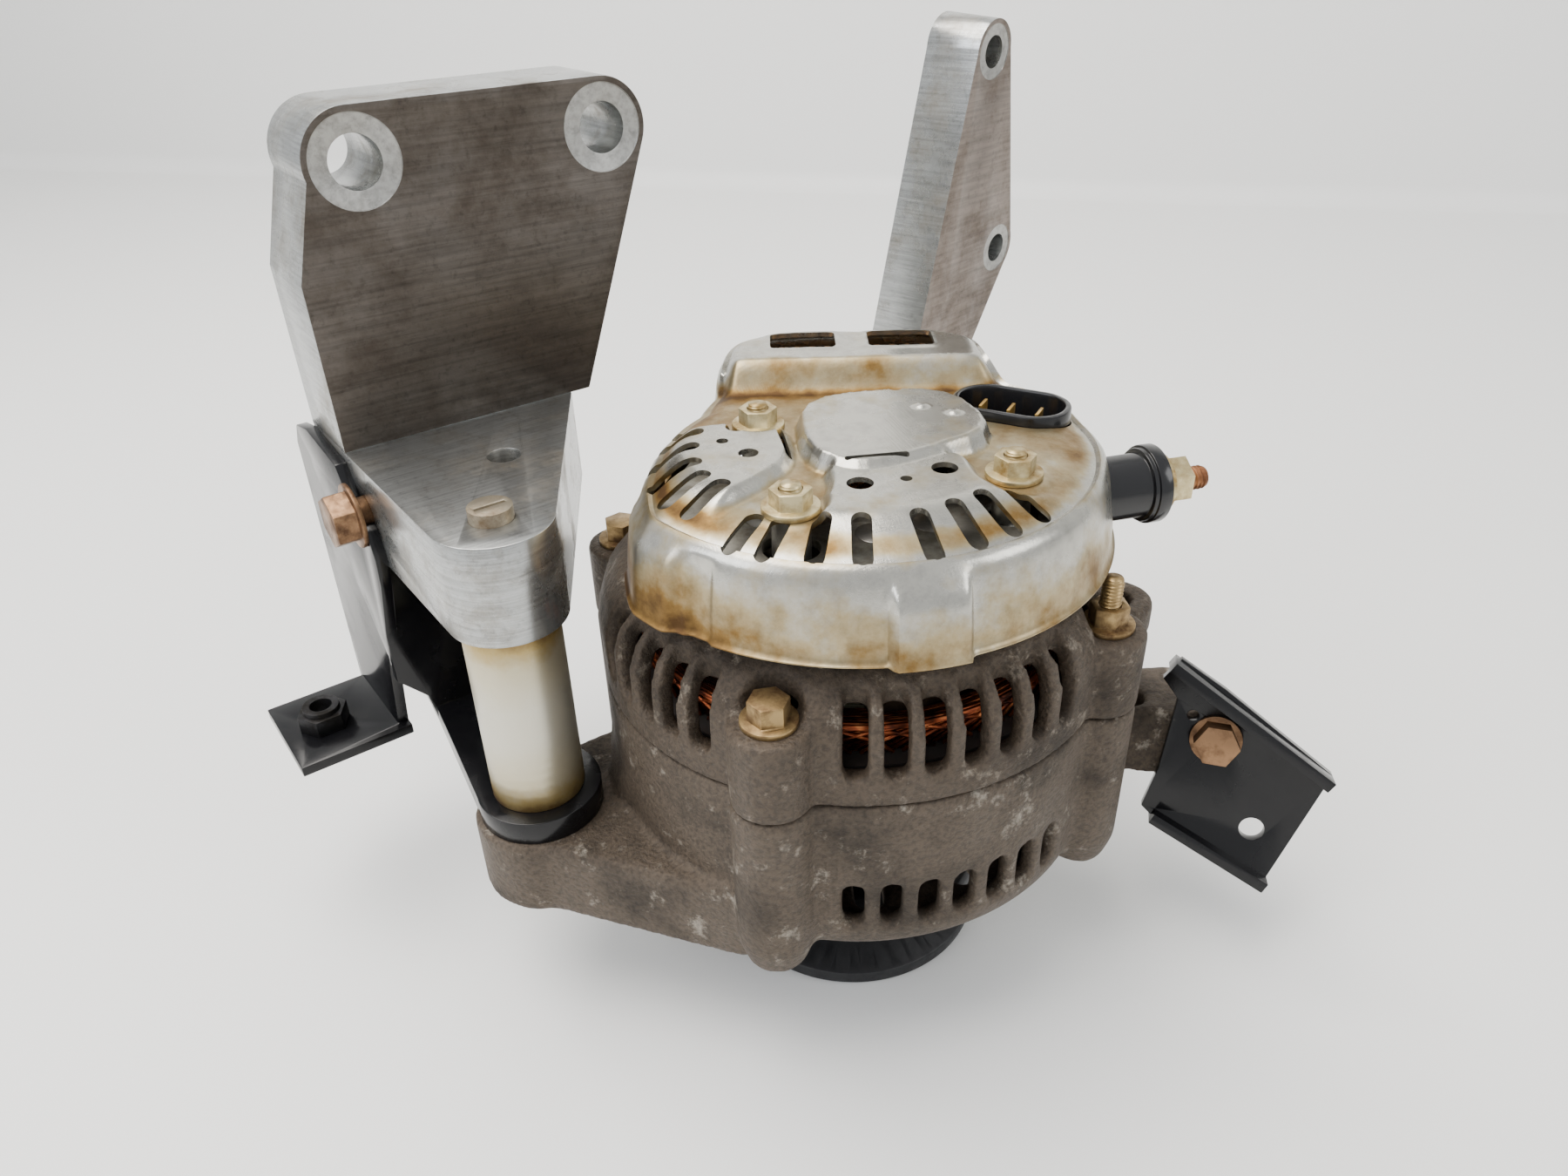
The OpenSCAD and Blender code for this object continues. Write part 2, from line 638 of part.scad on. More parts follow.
module rear_cover() {
  color("#b9b4a6") at_cover() difference() {
    union() {
      difference() {
        cover_body(0);
        difference() {
          cover_body(cover_wall);
          for (p = cover_fix) translate(p)
            rod(seat_cup_r + cover_wall, cover_nut_z - cover_wall, 160);
        }
      }
      intersection() {
        difference() {
          linear_extrude(200) cover_outline(-0.8);
          linear_extrude(200) cover_outline(cover_wall);
        }
        translate([-90, -90, cover_lip_z]) cube([180, 180, 1.2]);
      }
    }
    for (s = cover_slots) rotate([0, 0, s[0]]) deck_slot(s[1] - 4.5, s[1] + 4.5, 4.2, 130, 160);
    for (p = [[-27, 0.7, 2.9], [-30.3, -7.4, 1.4], [-24.3, -14.2, 2.3], [-0.8, -30.6, 2.9],
        [9, -29, 1.3], [17.7, -24.4, 2.9], [11.2, 18.3, 1.9]])
      translate([p[0], p[1], 130]) cylinder(r = p[2], h = 40, $fn = 32);
    for (x = [-19.2, 6.6]) translate([x, 40, 140]) cube([17.2, 12, 20]);
    for (p = cover_fix) translate(p) {
      rod(cover_fix_r + bolt_fit, 140, 160);
      rod(seat_cup_r, cover_nut_z, 160);
    }
    translate([39, 13, 140]) rotate([0, 0, -28]) plug_oval(1.2, 0, 20);
    rotate([0, 0, term_turn - cover_turn]) translate([40, term_y, term_z])
      rotate([0, 90, 0]) cylinder(r = bush_neck_r + 0.3, h = 40);
  }
}
// Oval of the plug, drawn in by an inset, between two heights.
module plug_oval(grow, z0, z1) {
  translate([0, 0, z0]) linear_extrude(z1 - z0) union() {
    translate([-5.5, 0]) circle(r = 8.5 + grow, $fn = 48);
    translate([5.5, 0]) circle(r = 8.5 + grow, $fn = 48);
    translate([-5.5, -8.5 - grow]) square([11, 17 + 2 * grow]);
  }
}
module cover_studs() {
  color("#9d9a90") for (p = cover_fix) at_cover() translate(p) {
    rod(cover_fix_r, deck_z - 3.5, cover_nut_z + 6.2);
    rod(4.2, deck_z + 3, cover_nut_z - cover_wall - 0.02);
  }
}
module cover_nuts() {
  color("#c3b27e") for (p = cover_fix) at_cover() translate(p) difference() {
    flange_head(8, cover_nut_z, 5);
    rod(cover_fix_r + seat_fit, cover_nut_z - 1, cover_nut_z + 7);
  }
}

// Crescent heat sink around the front of the shaft.
module crescent(r0, r1, z0, z1) {
  difference() {
    intersection() {
      ring(r0, r1, z0, z1);
      linear_extrude(200) cover_outline(4);
    }
    translate([-70, 8, z0 - 1]) cube([140, 70, z1 - z0 + 2]);
    for (p = cover_fix) translate(p) rod(6.2, z0 - 1, z1 + 1);
  }
}
// Angles of the diodes in the lower and the upper plate.
lower_diodes = [-150, -128, -95, -62, -20];
upper_diodes = [-155, -133, -85, -60, -8];
module rectifier_plate_negative() {
  color("#a9a59b") at_cover() difference() {
    crescent(22, 53, 122.6, 125);
    for (a = lower_diodes) polar(a, 46) rod(4.5 + seat_fit, 120, 130);
  }
}
module rectifier_plate_positive() {
  color("#a9a59b") at_cover() difference() {
    crescent(22, 50, 136, 138.4);
    for (a = upper_diodes) polar(a, 31) rod(4.5 + seat_fit, 130, 140);
    rotate([0, 0, -cover_turn]) at_terminal() rod(bush_r + 1, -20, 20);
  }
}
module rectifier_board() {
  color("#2d2a28") at_cover() difference() {
    crescent(22, 38, 129, 131.4);
    for (a = upper_diodes) polar(a, 31) rod(4.5 + bolt_fit, 120, 140);
  }
}
module diodes() {
  color("#8f8d88") at_cover() {
    for (a = lower_diodes) polar(a, 46) {
      rod(4.5, 122.6, 127.5);
      rod(0.6, 127.5, 130);
    }
    for (a = upper_diodes) polar(a, 31) {
      rod(4.5, 133.5, 138.4);
      rod(0.6, 131.6, 133.5);
    }
  }
}
module voltage_regulator() {
  color("#2b2b2d") at_cover() {
    translate([17, 12, deck_z]) cube([25, 17, 20.5]);
    translate([-18, 28, deck_z]) cube([44, 25, 6]);
  }
}
module regulator_fins() {
  color("#c9a47a") at_cover() {
    translate([-17.5, 36, deck_z + 6]) cube([41.5, 17, 2]);
    for (x0 = [-19.2, 6.6], k = [0:3]) translate([x0 + 2.4 + k * 4.1, 36.5, deck_z + 6])
      cube([1.4, 16, 25]);
  }
}
module plug_shroud() {
  color("#141416") at_cover() translate([39, 13, 0]) rotate([0, 0, -28]) difference() {
    plug_oval(0.4, 140, plug_top_z);
    plug_oval(-1.2, 142.5, 160);
  }
}
module plug_blades() {
  color("#c2a15c") at_cover() translate([39, 13, 0]) rotate([0, 0, -28])
    for (x = [-7, 0, 7]) translate([x - 0.4, -2.5, 142.5]) cube([0.8, 5, 5.5]);
}
module brush_holder() {
  color("#33312f") at_cover() difference() {
    union() {
      translate([-6, holder_y0, 125.7]) cube([12, holder_y1 + 1.5 - holder_y0, 18.8]);
      translate([-20, holder_y1 - 4, 125.8]) cube([32.5, 4, 6]);
    }
    for (z = ring_z) translate([-brush_w / 2 - brush_fit, holder_y0 - 1,
        z - brush_h / 2 - brush_fit])
      cube([brush_w + 2 * brush_fit, holder_y1 + 1 - holder_y0, brush_h + 2 * brush_fit]);
  }
}
module brush(z) {
  at_cover() difference() {
    translate([-brush_w / 2, brush_y, z - brush_h / 2]) cube([brush_w, brush_len, brush_h]);
    translate([0, brush_y + brush_len - brush_bore, z]) rotate([-90, 0, 0])
      cylinder(r = brush_bore_r, h = brush_bore + 1, $fn = 32);
  }
}
module brush_positive() {
  color("#3b3836") brush(ring_z[0]);
}
module brush_negative() {
  color("#3b3836") brush(ring_z[1]);
}
// A helical spring as one swept tube, from the brush bore to the holder's end.
function spring_point(t, y0, y1) = [spring_r * cos(360 * spring_turns * t),
  y0 + (y1 - y0) * t, spring_r * sin(360 * spring_turns * t)];
module spring(z) {
  y0 = brush_y + brush_len - brush_bore + spring_wire_r;
  y1 = holder_y1 - spring_wire_r;
  rings = spring_turns * 12;
  sides = 6;
  points = [for (i = [0:rings], j = [0:sides - 1])
    let (t = i / rings, c = spring_point(t, y0, y1), a = 360 * spring_turns * t,
      b = 360 * j / sides)
    [c[0] + spring_wire_r * cos(b) * cos(a), c[1] + spring_wire_r * sin(b),
      c[2] + spring_wire_r * cos(b) * sin(a) + z]];
  sidesf = [for (i = [0:rings - 1], j = [0:sides - 1])
    [i * sides + j, i * sides + (j + 1) % sides, (i + 1) * sides + (j + 1) % sides,
      (i + 1) * sides + j]];
  ends = [[for (j = [0:sides - 1]) sides - 1 - j], [for (j = [0:sides - 1]) rings * sides + j]];
  at_cover() polyhedron(points, concat(sidesf, ends), convexity = 10);
}
module brush_spring_positive() {
  color("#c9c9c4") spring(ring_z[0]);
}
module brush_spring_negative() {
  color("#c9c9c4") spring(ring_z[1]);
}

module at_terminal() {
  rotate([0, 0, term_turn]) translate([term_x, term_y, term_z]) rotate([0, 90, 0]) children();
}
module battery_stud() {
  color("#b87850") at_terminal() {
    rod(stud_r, -14, 23.2);
    rod(stud_r - 0.2, 23.2, 28);
    hex(9, -15, -12.4);
  }
}
module battery_bush() {
  color("#151517") at_terminal() difference() {
    union() {
      rod(bush_neck_r, -10, 10.8);
      rod(bush_r - 0.6, 10.8, 11.8);
      rod(bush_r, 11.8, 15);
    }
    rod(stud_r + seat_fit, -11, 16);
  }
}
module battery_nut() {
  color("#b9a37a") at_terminal() difference() {
    union() {
      rod(6.8, 15.6, 17.2);
      hex(10, 17.2, 22.6);
    }
    rod(stud_r + seat_fit, 15, 25);
  }
}

module pivot_bolt() {
  color("#9c8f78") translate([-pivot_x, 0, 0]) difference() {
    union() {
      rod(pivot_r, lug_z0 - 3, block_z1 + 3);
      rod(9.6, lug_z0 - 1.7, lug_z0 - 0.15);
      hex(14, lug_z0 - 8.4, lug_z0 - 1.7);
    }
    rotate([0, 0, block_turn]) bar(-3.6, 3.6, 1, block_z1 + 1.8, block_z1 + 4);
  }
}
module spacer_tube() {
  color("#c4bda9") translate([-pivot_x, 0, 0])
    ring(pivot_r + bolt_fit, tube_r, eye_z1, tube_z1);
}
module pivot_block() {
  color("#c9c8c2") at_pivot() difference() {
    translate([0, 0, tube_z1]) linear_extrude(block_t) union() {
      circle(r = block_nose_r);
      polygon([[-block_nose_r, 0], [block_nose_r * cos(35), -block_nose_r * sin(35)],
        [48, plate_y], [50, plate_y + plate_t], [-block_nose_r, plate_y + plate_t]]);
    }
    rod(pivot_r + seat_fit, tube_z1 - 1, block_z1 + 1);
    translate([16.1, 28.5, 0]) rod(4.1, tube_z1 - 1, block_z1 + 1);
    translate([-block_nose_r - 1, flange_bolt_y, flange_bolt_z]) rotate([0, 90, 0])
      cylinder(r = 4 + seat_fit, h = 20);
    for (x = [0, 34]) translate([x, plate_y + plate_t / 2, 0]) {
      rod(3.1 + bolt_fit, tube_z1 - 1, block_z1 + 1);
      rod(5.6, tube_z1 - 1, tube_z1 + 6.6);
    }
  }
}
module mounting_plate() {
  hole_z = block_z1 + plate_hole_h;
  left_x = -block_nose_r + 17.5;
  right_x = left_x + plate_hole_gap;
  rc = plate_corner_r;
  color("#6f6a63") at_pivot() difference() {
    translate([0, plate_y + plate_t, 0]) rotate([90, 0, 0]) linear_extrude(plate_t) union() {
      translate([left_x, hole_z]) circle(r = rc);
      translate([right_x, hole_z]) circle(r = rc);
      polygon([[-block_nose_r, block_z1], [right_x - rc, block_z1],
        [right_x + rc * cos(20), hole_z - rc * sin(20)], [right_x, hole_z + rc],
        [left_x, hole_z + rc], [left_x - rc * cos(14), hole_z - rc * sin(14)],
        [-block_nose_r - 0.5, block_z1 + 41]]);
    }
    for (x = [left_x, right_x]) translate([x, 0, hole_z]) rotate([-90, 0, 0]) {
      translate([0, 0, plate_y - 1]) cylinder(r = plate_hole_r, h = plate_t + 2);
      translate([0, 0, plate_y - 1]) cylinder(r = 10.4, h = 1.25);
      translate([0, 0, plate_y + plate_t - 0.25]) cylinder(r = 10.4, h = 1);
    }
    for (x = [0, 34]) translate([x, plate_y + plate_t / 2, 0])
      rod(3 + seat_fit, block_z1 - 1, block_z1 + 16);
  }
}
module plate_screws() {
  color("#2a2a2c") at_pivot() for (x = [0, 34]) translate([x, plate_y + plate_t / 2, 0])
    difference() {
      union() {
        rod(3, tube_z1 + 3, block_z1 + 14);
        rod(5, tube_z1 + 0.6, tube_z1 + 6.6);
      }
      hex(5, tube_z1 - 1, tube_z1 + 3.6);
    }
}
// Bent steel bracket from the eye on the pivot bolt to the block's side.
module steady_bracket() {
  x1 = -block_nose_r;
  color("#1d1d20") at_pivot() difference() {
    union() {
      translate([x1, 0, 0]) rotate([90, 0, -90]) linear_extrude(steel_t) polygon([
        [-90, tab_z - 3], [-90, block_z1 - 8], [-86, block_z1 - 2], [-76, block_z1],
        [-54.8, block_z1 - 2.4], [-51, block_z1 - 8], [-40, block_z1 - 15],
        [-38, block_z1 - 22], [-39, block_z1 - 30], [-52, 77], [-58, tab_z - 3]]);
      translate([x1 - 31, plate_y, tab_z - steel_t]) cube([31, 33, steel_t]);
      translate([x1 - steel_t, web_y, 0]) rotate([90, 0, 0]) translate([0, 0, -steel_t])
        linear_extrude(steel_t) polygon([[0, 78], [7, 70], [9, lug_z1], [26, lug_z1],
          [26, tube_z1 - 0.4], [0, tube_z1 - 0.4]]);
      translate([0, 0, lug_z1]) linear_extrude(eye_t) union() {
        circle(r = eye_r);
        polygon([[-eye_r, 0], [eye_r, 0], [9, web_y + steel_t], [-8, web_y + steel_t]]);
      }
    }
    rod(pivot_r + bolt_fit, lug_z1 - 1, eye_z1 + 1);
    translate([x1 - 5, flange_bolt_y, flange_bolt_z]) rotate([0, 90, 0])
      cylinder(r = 4 + bolt_fit, h = 6);
    translate(weld_nut_at) rod(4.5, tab_z - 5, tab_z + 1);
  }
}
module bracket_bolt() {
  color("#8a6a50") at_pivot() translate([-block_nose_r, flange_bolt_y, flange_bolt_z])
    rotate([0, -90, 0]) {
      rod(4, -16, steel_t + 0.5);
      rod(8.2, steel_t, steel_t + 1.2);
      hex(12, steel_t + 1.2, steel_t + 6.6);
    }
}
module weld_nut() {
  color("#26262a") at_pivot() translate(weld_nut_at) difference() {
    union() {
      rod(4.4, tab_z - 3, tab_z + 0.5);
      hex(12, tab_z, tab_z + 5);
      rod(5, tab_z + 4, tab_z + 6.5);
    }
    rod(3, tab_z - 5, tab_z + 8);
  }
}

// Channel bracket on the lower ear, for the belt adjuster.
module adjuster_bracket() {
  color("#17171a") at_seat() difference() {
    union() {
      rotate([90, 0, 0]) linear_extrude(steel_t) polygon([
        [-15.4, 14.5], [-11.5, 20.5], [0.3, 14], [29.5, -4.8], [17.6, -39.6],
        [-11.5, -26], [-15.8, -22.5], [-13, -11], [-11, 9.5]]);
      rotate([90, 0, 0]) edge_flange([-13, 20.8], [29.5, -4.8], 9);
      rotate([90, 0, 0]) edge_flange([17.6, -39.6], [-13.5, -25.5], 7);
    }
    rotate([90, 0, 0]) {
      translate([0, 0, -1]) cylinder(r = 3 + bolt_fit, h = 6);
      translate([12.8, -23.6, -1]) cylinder(r = 3.2, h = 6);
      translate([-6.5, 5.5, -1]) cylinder(r = 1.5, h = 6);
    }
  }
}
// Flange standing on the sheet along the line from p to q.
module edge_flange(p, q, h) {
  d = q - p;
  translate([p[0], p[1], 0]) rotate([0, 0, atan2(d[1], d[0])])
    translate([0, -steel_t, 0]) cube([norm(d), steel_t, h]);
}
// The bolts that hold the adjuster bracket and the rear plate.
module side_bolts() {
  color("#8a6a50") {
    at_seat() rotate([90, 0, 0]) {
      rod(3, -14, steel_t + 0.5);
      rod(6.6, steel_t, steel_t + 1.1);
      hex(10, steel_t + 1.1, steel_t + 6);
    }
    at_rear_plate() for (x = rear_bolt_x) translate([x, rear_plate_t, rear_bolt_z])
      rotate([-90, 0, 0]) {
        rod(3, -rear_plate_t - 9, 0.5);
        rod(6.6, 0, 1.1);
        hex(10, 1.1, 6);
      }
  }
}
module rear_plate() {
  h1 = [0, 0];
  h2 = [rear_offset, -sqrt(pow(rear_hole_gap, 2) - pow(rear_offset, 2))];
  rc = rear_corner_r;
  ease = 0.15;
  out = [-h2[1], h2[0]] / norm(h2) * (rc - ease);
  foot_l = [-33, rear_foot];
  foot_r = [-5, rear_foot];
  waist = [-5, h2[1] - 49];
  color("#7d746b") difference() {
    at_rear_plate() translate([0, rear_plate_t, 0]) rotate([90, 0, 0]) {
      translate(h1) cylinder(r = rc, h = rear_plate_t);
      translate(h2) cylinder(r = rc, h = rear_plate_t);
      linear_extrude(rear_plate_t) polygon([foot_l, tangent(h1, rc - ease, foot_l, -1), h1,
        out, h2 + out, h2, tangent(h2, rc - ease, waist, 1), waist, foot_r]);
    }
    for (p = [h1, h2]) at_rear_plate() translate([p[0], 0, p[1]]) rotate([-90, 0, 0]) {
      translate([0, 0, -1]) cylinder(r = rear_hole_r, h = rear_plate_t + 2);
      translate([0, 0, -1]) cylinder(r = 6.9, h = 1.2);
    }
    rear_bolt_holes(3 + bolt_fit);
  }
}

drive_end_frame();
rear_end_frame();
stator_core();
stator_windings();
through_bolts();
through_stud();
through_stud_nut();
bearing_retainer();
retainer_screws();
front_bearing_outer();
rear_bearing_outer();
front_bearing_balls();
front_bearing_cage();
rear_bearing_balls();
rear_bearing_cage();
front_bearing_inner();
rear_bearing_inner();
rotor_shaft();
claw_pole_front();
claw_pole_rear();
field_coil();
coil_bobbin();
front_fan();
rear_fan();
slip_ring_sleeve();
slip_rings();
spacer_collar();
pulley();
pulley_washer();
pulley_nut();
rear_cover();
cover_studs();
cover_nuts();
rectifier_plate_negative();
rectifier_plate_positive();
rectifier_board();
diodes();
voltage_regulator();
regulator_fins();
plug_shroud();
plug_blades();
brush_holder();
brush_positive();
brush_negative();
brush_spring_positive();
brush_spring_negative();
battery_stud();
battery_bush();
battery_nut();
pivot_bolt();
spacer_tube();
pivot_block();
mounting_plate();
plate_screws();
steady_bracket();
bracket_bolt();
weld_nut();
adjuster_bracket();
rear_plate();
side_bolts();
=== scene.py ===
import json
import math

import bmesh
import bpy
import numpy as np
from mathutils import Matrix, Vector


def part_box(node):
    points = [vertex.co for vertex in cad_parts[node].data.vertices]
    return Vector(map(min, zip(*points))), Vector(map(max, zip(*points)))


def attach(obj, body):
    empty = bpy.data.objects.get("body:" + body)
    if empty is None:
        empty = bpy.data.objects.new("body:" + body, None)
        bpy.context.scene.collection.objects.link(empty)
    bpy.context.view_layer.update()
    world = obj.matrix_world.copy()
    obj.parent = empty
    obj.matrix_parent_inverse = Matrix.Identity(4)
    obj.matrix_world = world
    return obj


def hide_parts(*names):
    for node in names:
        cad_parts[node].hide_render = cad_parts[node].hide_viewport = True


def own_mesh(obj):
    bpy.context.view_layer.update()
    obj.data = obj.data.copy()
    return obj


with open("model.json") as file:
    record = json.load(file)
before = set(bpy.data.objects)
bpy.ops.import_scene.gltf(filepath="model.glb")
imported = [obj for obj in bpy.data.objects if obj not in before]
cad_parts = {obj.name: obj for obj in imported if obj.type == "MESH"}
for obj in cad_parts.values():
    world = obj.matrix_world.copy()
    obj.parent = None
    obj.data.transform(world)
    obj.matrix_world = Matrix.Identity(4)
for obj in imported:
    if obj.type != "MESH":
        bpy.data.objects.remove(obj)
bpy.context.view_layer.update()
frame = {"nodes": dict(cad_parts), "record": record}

nodes = frame["nodes"]


# The setting: a pale table that turns up into a pale wall, as a studio sweep.
# It is matt board, rolled in one sheet, with no visible joint.
def linear(hex_colour):
    channels = [int(hex_colour[i:i + 2], 16) / 255 for i in (1, 3, 5)]
    return [c / 12.92 if c < 0.04045 else ((c + 0.055) / 1.055) ** 2.4 for c in channels] + [1]


def add(tree, kind, links=None, **settings):
    """Adds a node. Settings are its properties or inputs by name; links are its linked inputs."""
    node = tree.nodes.new(kind)
    for name, value in settings.items():
        if hasattr(node, name):
            setattr(node, name, value)
        else:
            node.inputs[name.replace("_", " ")].default_value = value
    for name, socket in (links or {}).items():
        tree.links.new(socket, node.inputs[name])
    return node


def surface(name, colour, metallic, roughness, **more):
    """A material with its shader and object coordinates; returns both with the tree."""
    material = bpy.data.materials.new(name)
    material.use_nodes = True
    tree = material.node_tree
    shader = tree.nodes["Principled BSDF"]
    shader.inputs["Base Color"].default_value = linear(colour)
    shader.inputs["Metallic"].default_value = metallic
    shader.inputs["Roughness"].default_value = roughness
    for key, value in more.items():
        shader.inputs[key.replace("_", " ")].default_value = value
    place = add(tree, "ShaderNodeTexCoord")
    return material, tree, shader, place.outputs["Object"]


def mesh_piece(name, verts, faces, material, shaded_smooth=True):
    mesh = bpy.data.meshes.new(name)
    mesh.from_pydata([tuple(v) for v in verts], [], [tuple(f) for f in faces])
    mesh.update()
    piece = bpy.data.objects.new(name, mesh)
    bpy.context.scene.collection.objects.link(piece)
    mesh.materials.append(material)
    if shaded_smooth:
        mesh.shade_smooth()
    return piece


def ramp(tree, factor, stops):
    """A colour ramp between hex colours or grey values."""
    node = add(tree, "ShaderNodeValToRGB", {"Fac": factor})
    elements = node.color_ramp.elements
    while len(elements) < len(stops):
        elements.new(0.5)
    for element, (at, value) in zip(elements, stops):
        element.position = at
        element.color = linear(value) if isinstance(value, str) else (value, value, value, 1)
    return node.outputs["Color"]


def bumped(tree, height, strength, distance, into):
    """Lets a height raise the surface; into is the normal of the shader or of the next bump."""
    bump = add(tree, "ShaderNodeBump", {"Height": height}, Strength=strength, Distance=distance)
    tree.links.new(bump.outputs["Normal"], into)
    return bump


table_board, tree, shader, spot = surface("painted_board_matt_white", "#e6e6e4", 0, 0.55)
grain = add(tree, "ShaderNodeTexNoise", {"Vector": spot}, Scale=260, Detail=3)
bumped(tree, grain.outputs["Fac"], 0.06, 0.0004, shader.inputs["Normal"])
sweep_x, front_y, bend_y, bend_r, wall_top = 3.2, -1.6, 0.9, 0.02, 2.2
sweep = []
for x in (-sweep_x, sweep_x):
    sweep += [(x, front_y, 0), (x, bend_y, 0)]
    sweep += [(x, bend_y + bend_r * math.sin(a), bend_r - bend_r * math.cos(a))
              for a in np.linspace(0.1, math.pi / 2, 12)]
    sweep += [(x, bend_y + bend_r, wall_top)]
half = len(sweep) // 2
turn = Matrix.Rotation(math.radians(-31), 4, "Z")
floor = mesh_piece("table", [turn @ Vector(v) for v in sweep],
                   [(i, i + half, i + half + 1, i + 1) for i in range(half - 1)], table_board)

# The camera: it looks down on the part from the front left, at the height of a person's chest.
# Its place is the one that the part's circles and right angles give.
lens = bpy.data.cameras.new("camera")
lens.lens = 25.74
lens.sensor_width = 36
lens.clip_start = 0.01
camera = bpy.data.objects.new("camera", lens)
bpy.context.scene.collection.objects.link(camera)
eye = Vector((-0.08610, -0.22549, 0.25435))
camera.matrix_world = (Matrix.Translation(eye) @ Matrix.Rotation(math.radians(-16.8), 4, "Z")
                       @ Matrix.Rotation(math.radians(90 - 31.63), 4, "X")
                       @ Matrix.Rotation(math.radians(-1.56), 4, "Z"))
bpy.context.scene.camera = camera


# The lights: a wide soft panel above and behind, a second at the left, and a pale room.
def panel(name, at, aim, size, power, colour):
    light = bpy.data.lights.new(name, "AREA")
    light.shape = "RECTANGLE"
    light.size, light.size_y = size
    light.energy = power
    light.color = linear(colour)[:3]
    lamp = bpy.data.objects.new(name, light)
    bpy.context.scene.collection.objects.link(lamp)
    lamp.location = at
    lamp.rotation_euler = (Vector(aim) - Vector(at)).to_track_quat("-Z", "Y").to_euler()


panel("panel_above", (-0.35, 0.15, 1.15), (0, 0, 0.08), (1.1, 0.8), 26, "#fffaf4")
panel("panel_left", (-1.1, -0.3, 0.75), (0, 0, 0.1), (0.7, 0.6), 7.5, "#f4f7ff")
panel("panel_right", (0.9, -0.7, 0.8), (0.05, 0, 0.1), (0.6, 0.6), 5, "#ffffff")
room = bpy.data.worlds.new("room")
room.use_nodes = True
room.node_tree.nodes["Background"].inputs["Color"].default_value = linear("#eef0f2")
room.node_tree.nodes["Background"].inputs["Strength"].default_value = 1.12
bpy.context.scene.world = room


# Drive-end frame: sand-cast aluminium with the pivot lug, the lower ear and the vent slots.
# The casting is left as it came from the mould, so its corners are round and its skin is gritty;
# years of oily dust have turned it taupe, with pale scuffs where it was handled.
def darkened(tree, colour, by, share):
    """A colour multiplied by another, by a share of its full strength."""
    mixed = add(tree, "ShaderNodeMix", data_type="RGBA", blend_type="MULTIPLY")
    mixed.inputs[0].default_value = share
    tree.links.new(colour, mixed.inputs[6])
    tree.links.new(by, mixed.inputs[7])
    return mixed.outputs[2]


def cast_skin(name, colour, dirt, scuff):
    """Raw cast metal: grit, patches of dirt and pale scuffs."""
    material, tree, shader, spot = surface(name, colour, 0.35, 0.62)
    grit = add(tree, "ShaderNodeTexNoise", {"Vector": spot}, Scale=900, Detail=4, Roughness=0.6)
    patches = add(tree, "ShaderNodeTexNoise", {"Vector": spot}, Scale=38, Detail=6, Roughness=0.62)
    scuffs = add(tree, "ShaderNodeTexNoise", {"Vector": spot}, Scale=120, Detail=7, Roughness=0.75)
    base = ramp(tree, patches.outputs["Fac"], [(0.3, dirt), (0.5, colour), (0.72, colour)])
    rubbed = ramp(tree, scuffs.outputs["Fac"], [(0.57, 0.0), (0.68, 0.7)])
    worn = add(tree, "ShaderNodeMix", {"Factor": rubbed}, data_type="RGBA")
    tree.links.new(base, worn.inputs[6])
    worn.inputs[7].default_value = linear(scuff)
    specks = ramp(tree, grit.outputs["Fac"], [(0.36, 0.42), (0.58, 1.0)])
    tree.links.new(darkened(tree, worn.outputs[2], specks, 0.75), shader.inputs["Base Color"])
    rough = ramp(tree, patches.outputs["Fac"], [(0.3, 0.78), (0.7, 0.5)])
    tree.links.new(rough, shader.inputs["Roughness"])
    # Sand grains are about 0.3 mm, drawn near 1 mm so that they show.
    dents = bumped(tree, scuffs.outputs["Fac"], 0.35, 0.0008, shader.inputs["Normal"])
    bumped(tree, grit.outputs["Fac"], 0.7, 0.0007, dents.inputs["Normal"])
    return material


def baked(piece):
    """Turns a piece with modifiers into a plain mesh."""
    bpy.context.view_layer.update()
    flat = bpy.data.meshes.new_from_object(
        piece.evaluated_get(bpy.context.evaluated_depsgraph_get()))
    piece.modifiers.clear()
    piece.data = flat
    return piece


def cad_copy(name, node, material):
    """A welded copy of a CAD solid, ready to be worked on."""
    mesh = nodes[node].data.copy()
    if "custom_normal" in mesh.attributes:
        mesh.attributes.remove(mesh.attributes["custom_normal"])
    piece = bpy.data.objects.new(name, mesh)
    bpy.context.scene.collection.objects.link(piece)
    work = bmesh.new()
    work.from_mesh(mesh)
    bmesh.ops.remove_doubles(work, verts=work.verts, dist=2e-6)
    work.to_mesh(mesh)
    work.free()
    mesh.materials.clear()
    mesh.materials.append(material)
    return piece


def settle(piece, node, body):
    """Fixes a piece to its body, in the place of a CAD solid, which it hides."""
    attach(piece, body)
    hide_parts(node)


def cast(name, node, grain_mm, material, body):
    """Rounds a solid's corners as a casting's are."""
    piece = cad_copy(name, node, material)
    remesh = piece.modifiers.new("mould", "REMESH")
    remesh.mode = "VOXEL"
    remesh.voxel_size = grain_mm / 1000
    relax = piece.modifiers.new("draft", "CORRECTIVE_SMOOTH")
    relax.use_only_smooth = True
    relax.factor = 0.5
    relax.iterations = 5
    baked(piece)
    piece.data.shade_smooth()
    piece.data.materials.clear()
    piece.data.materials.append(material)
    settle(piece, node, body)


taupe_casting = cast_skin("sand_cast_aluminium_weathered_taupe", "#51463a", "#2f2820", "#a59d90")
cast("drive_end_casting", "drive_end_frame", 1.05, taupe_casting, "housing")

# Rear frame: the second casting, which closes over the stator and carries the cover and regulator.
# It is the same alloy, a shade browner under the cover, where heat has baked the dust on.
brown_casting = cast_skin("sand_cast_aluminium_baked_brown", "#4b4034", "#2a221a", "#968c7e")
cast("rear_casting", "rear_end_frame", 0.85, brown_casting, "housing")

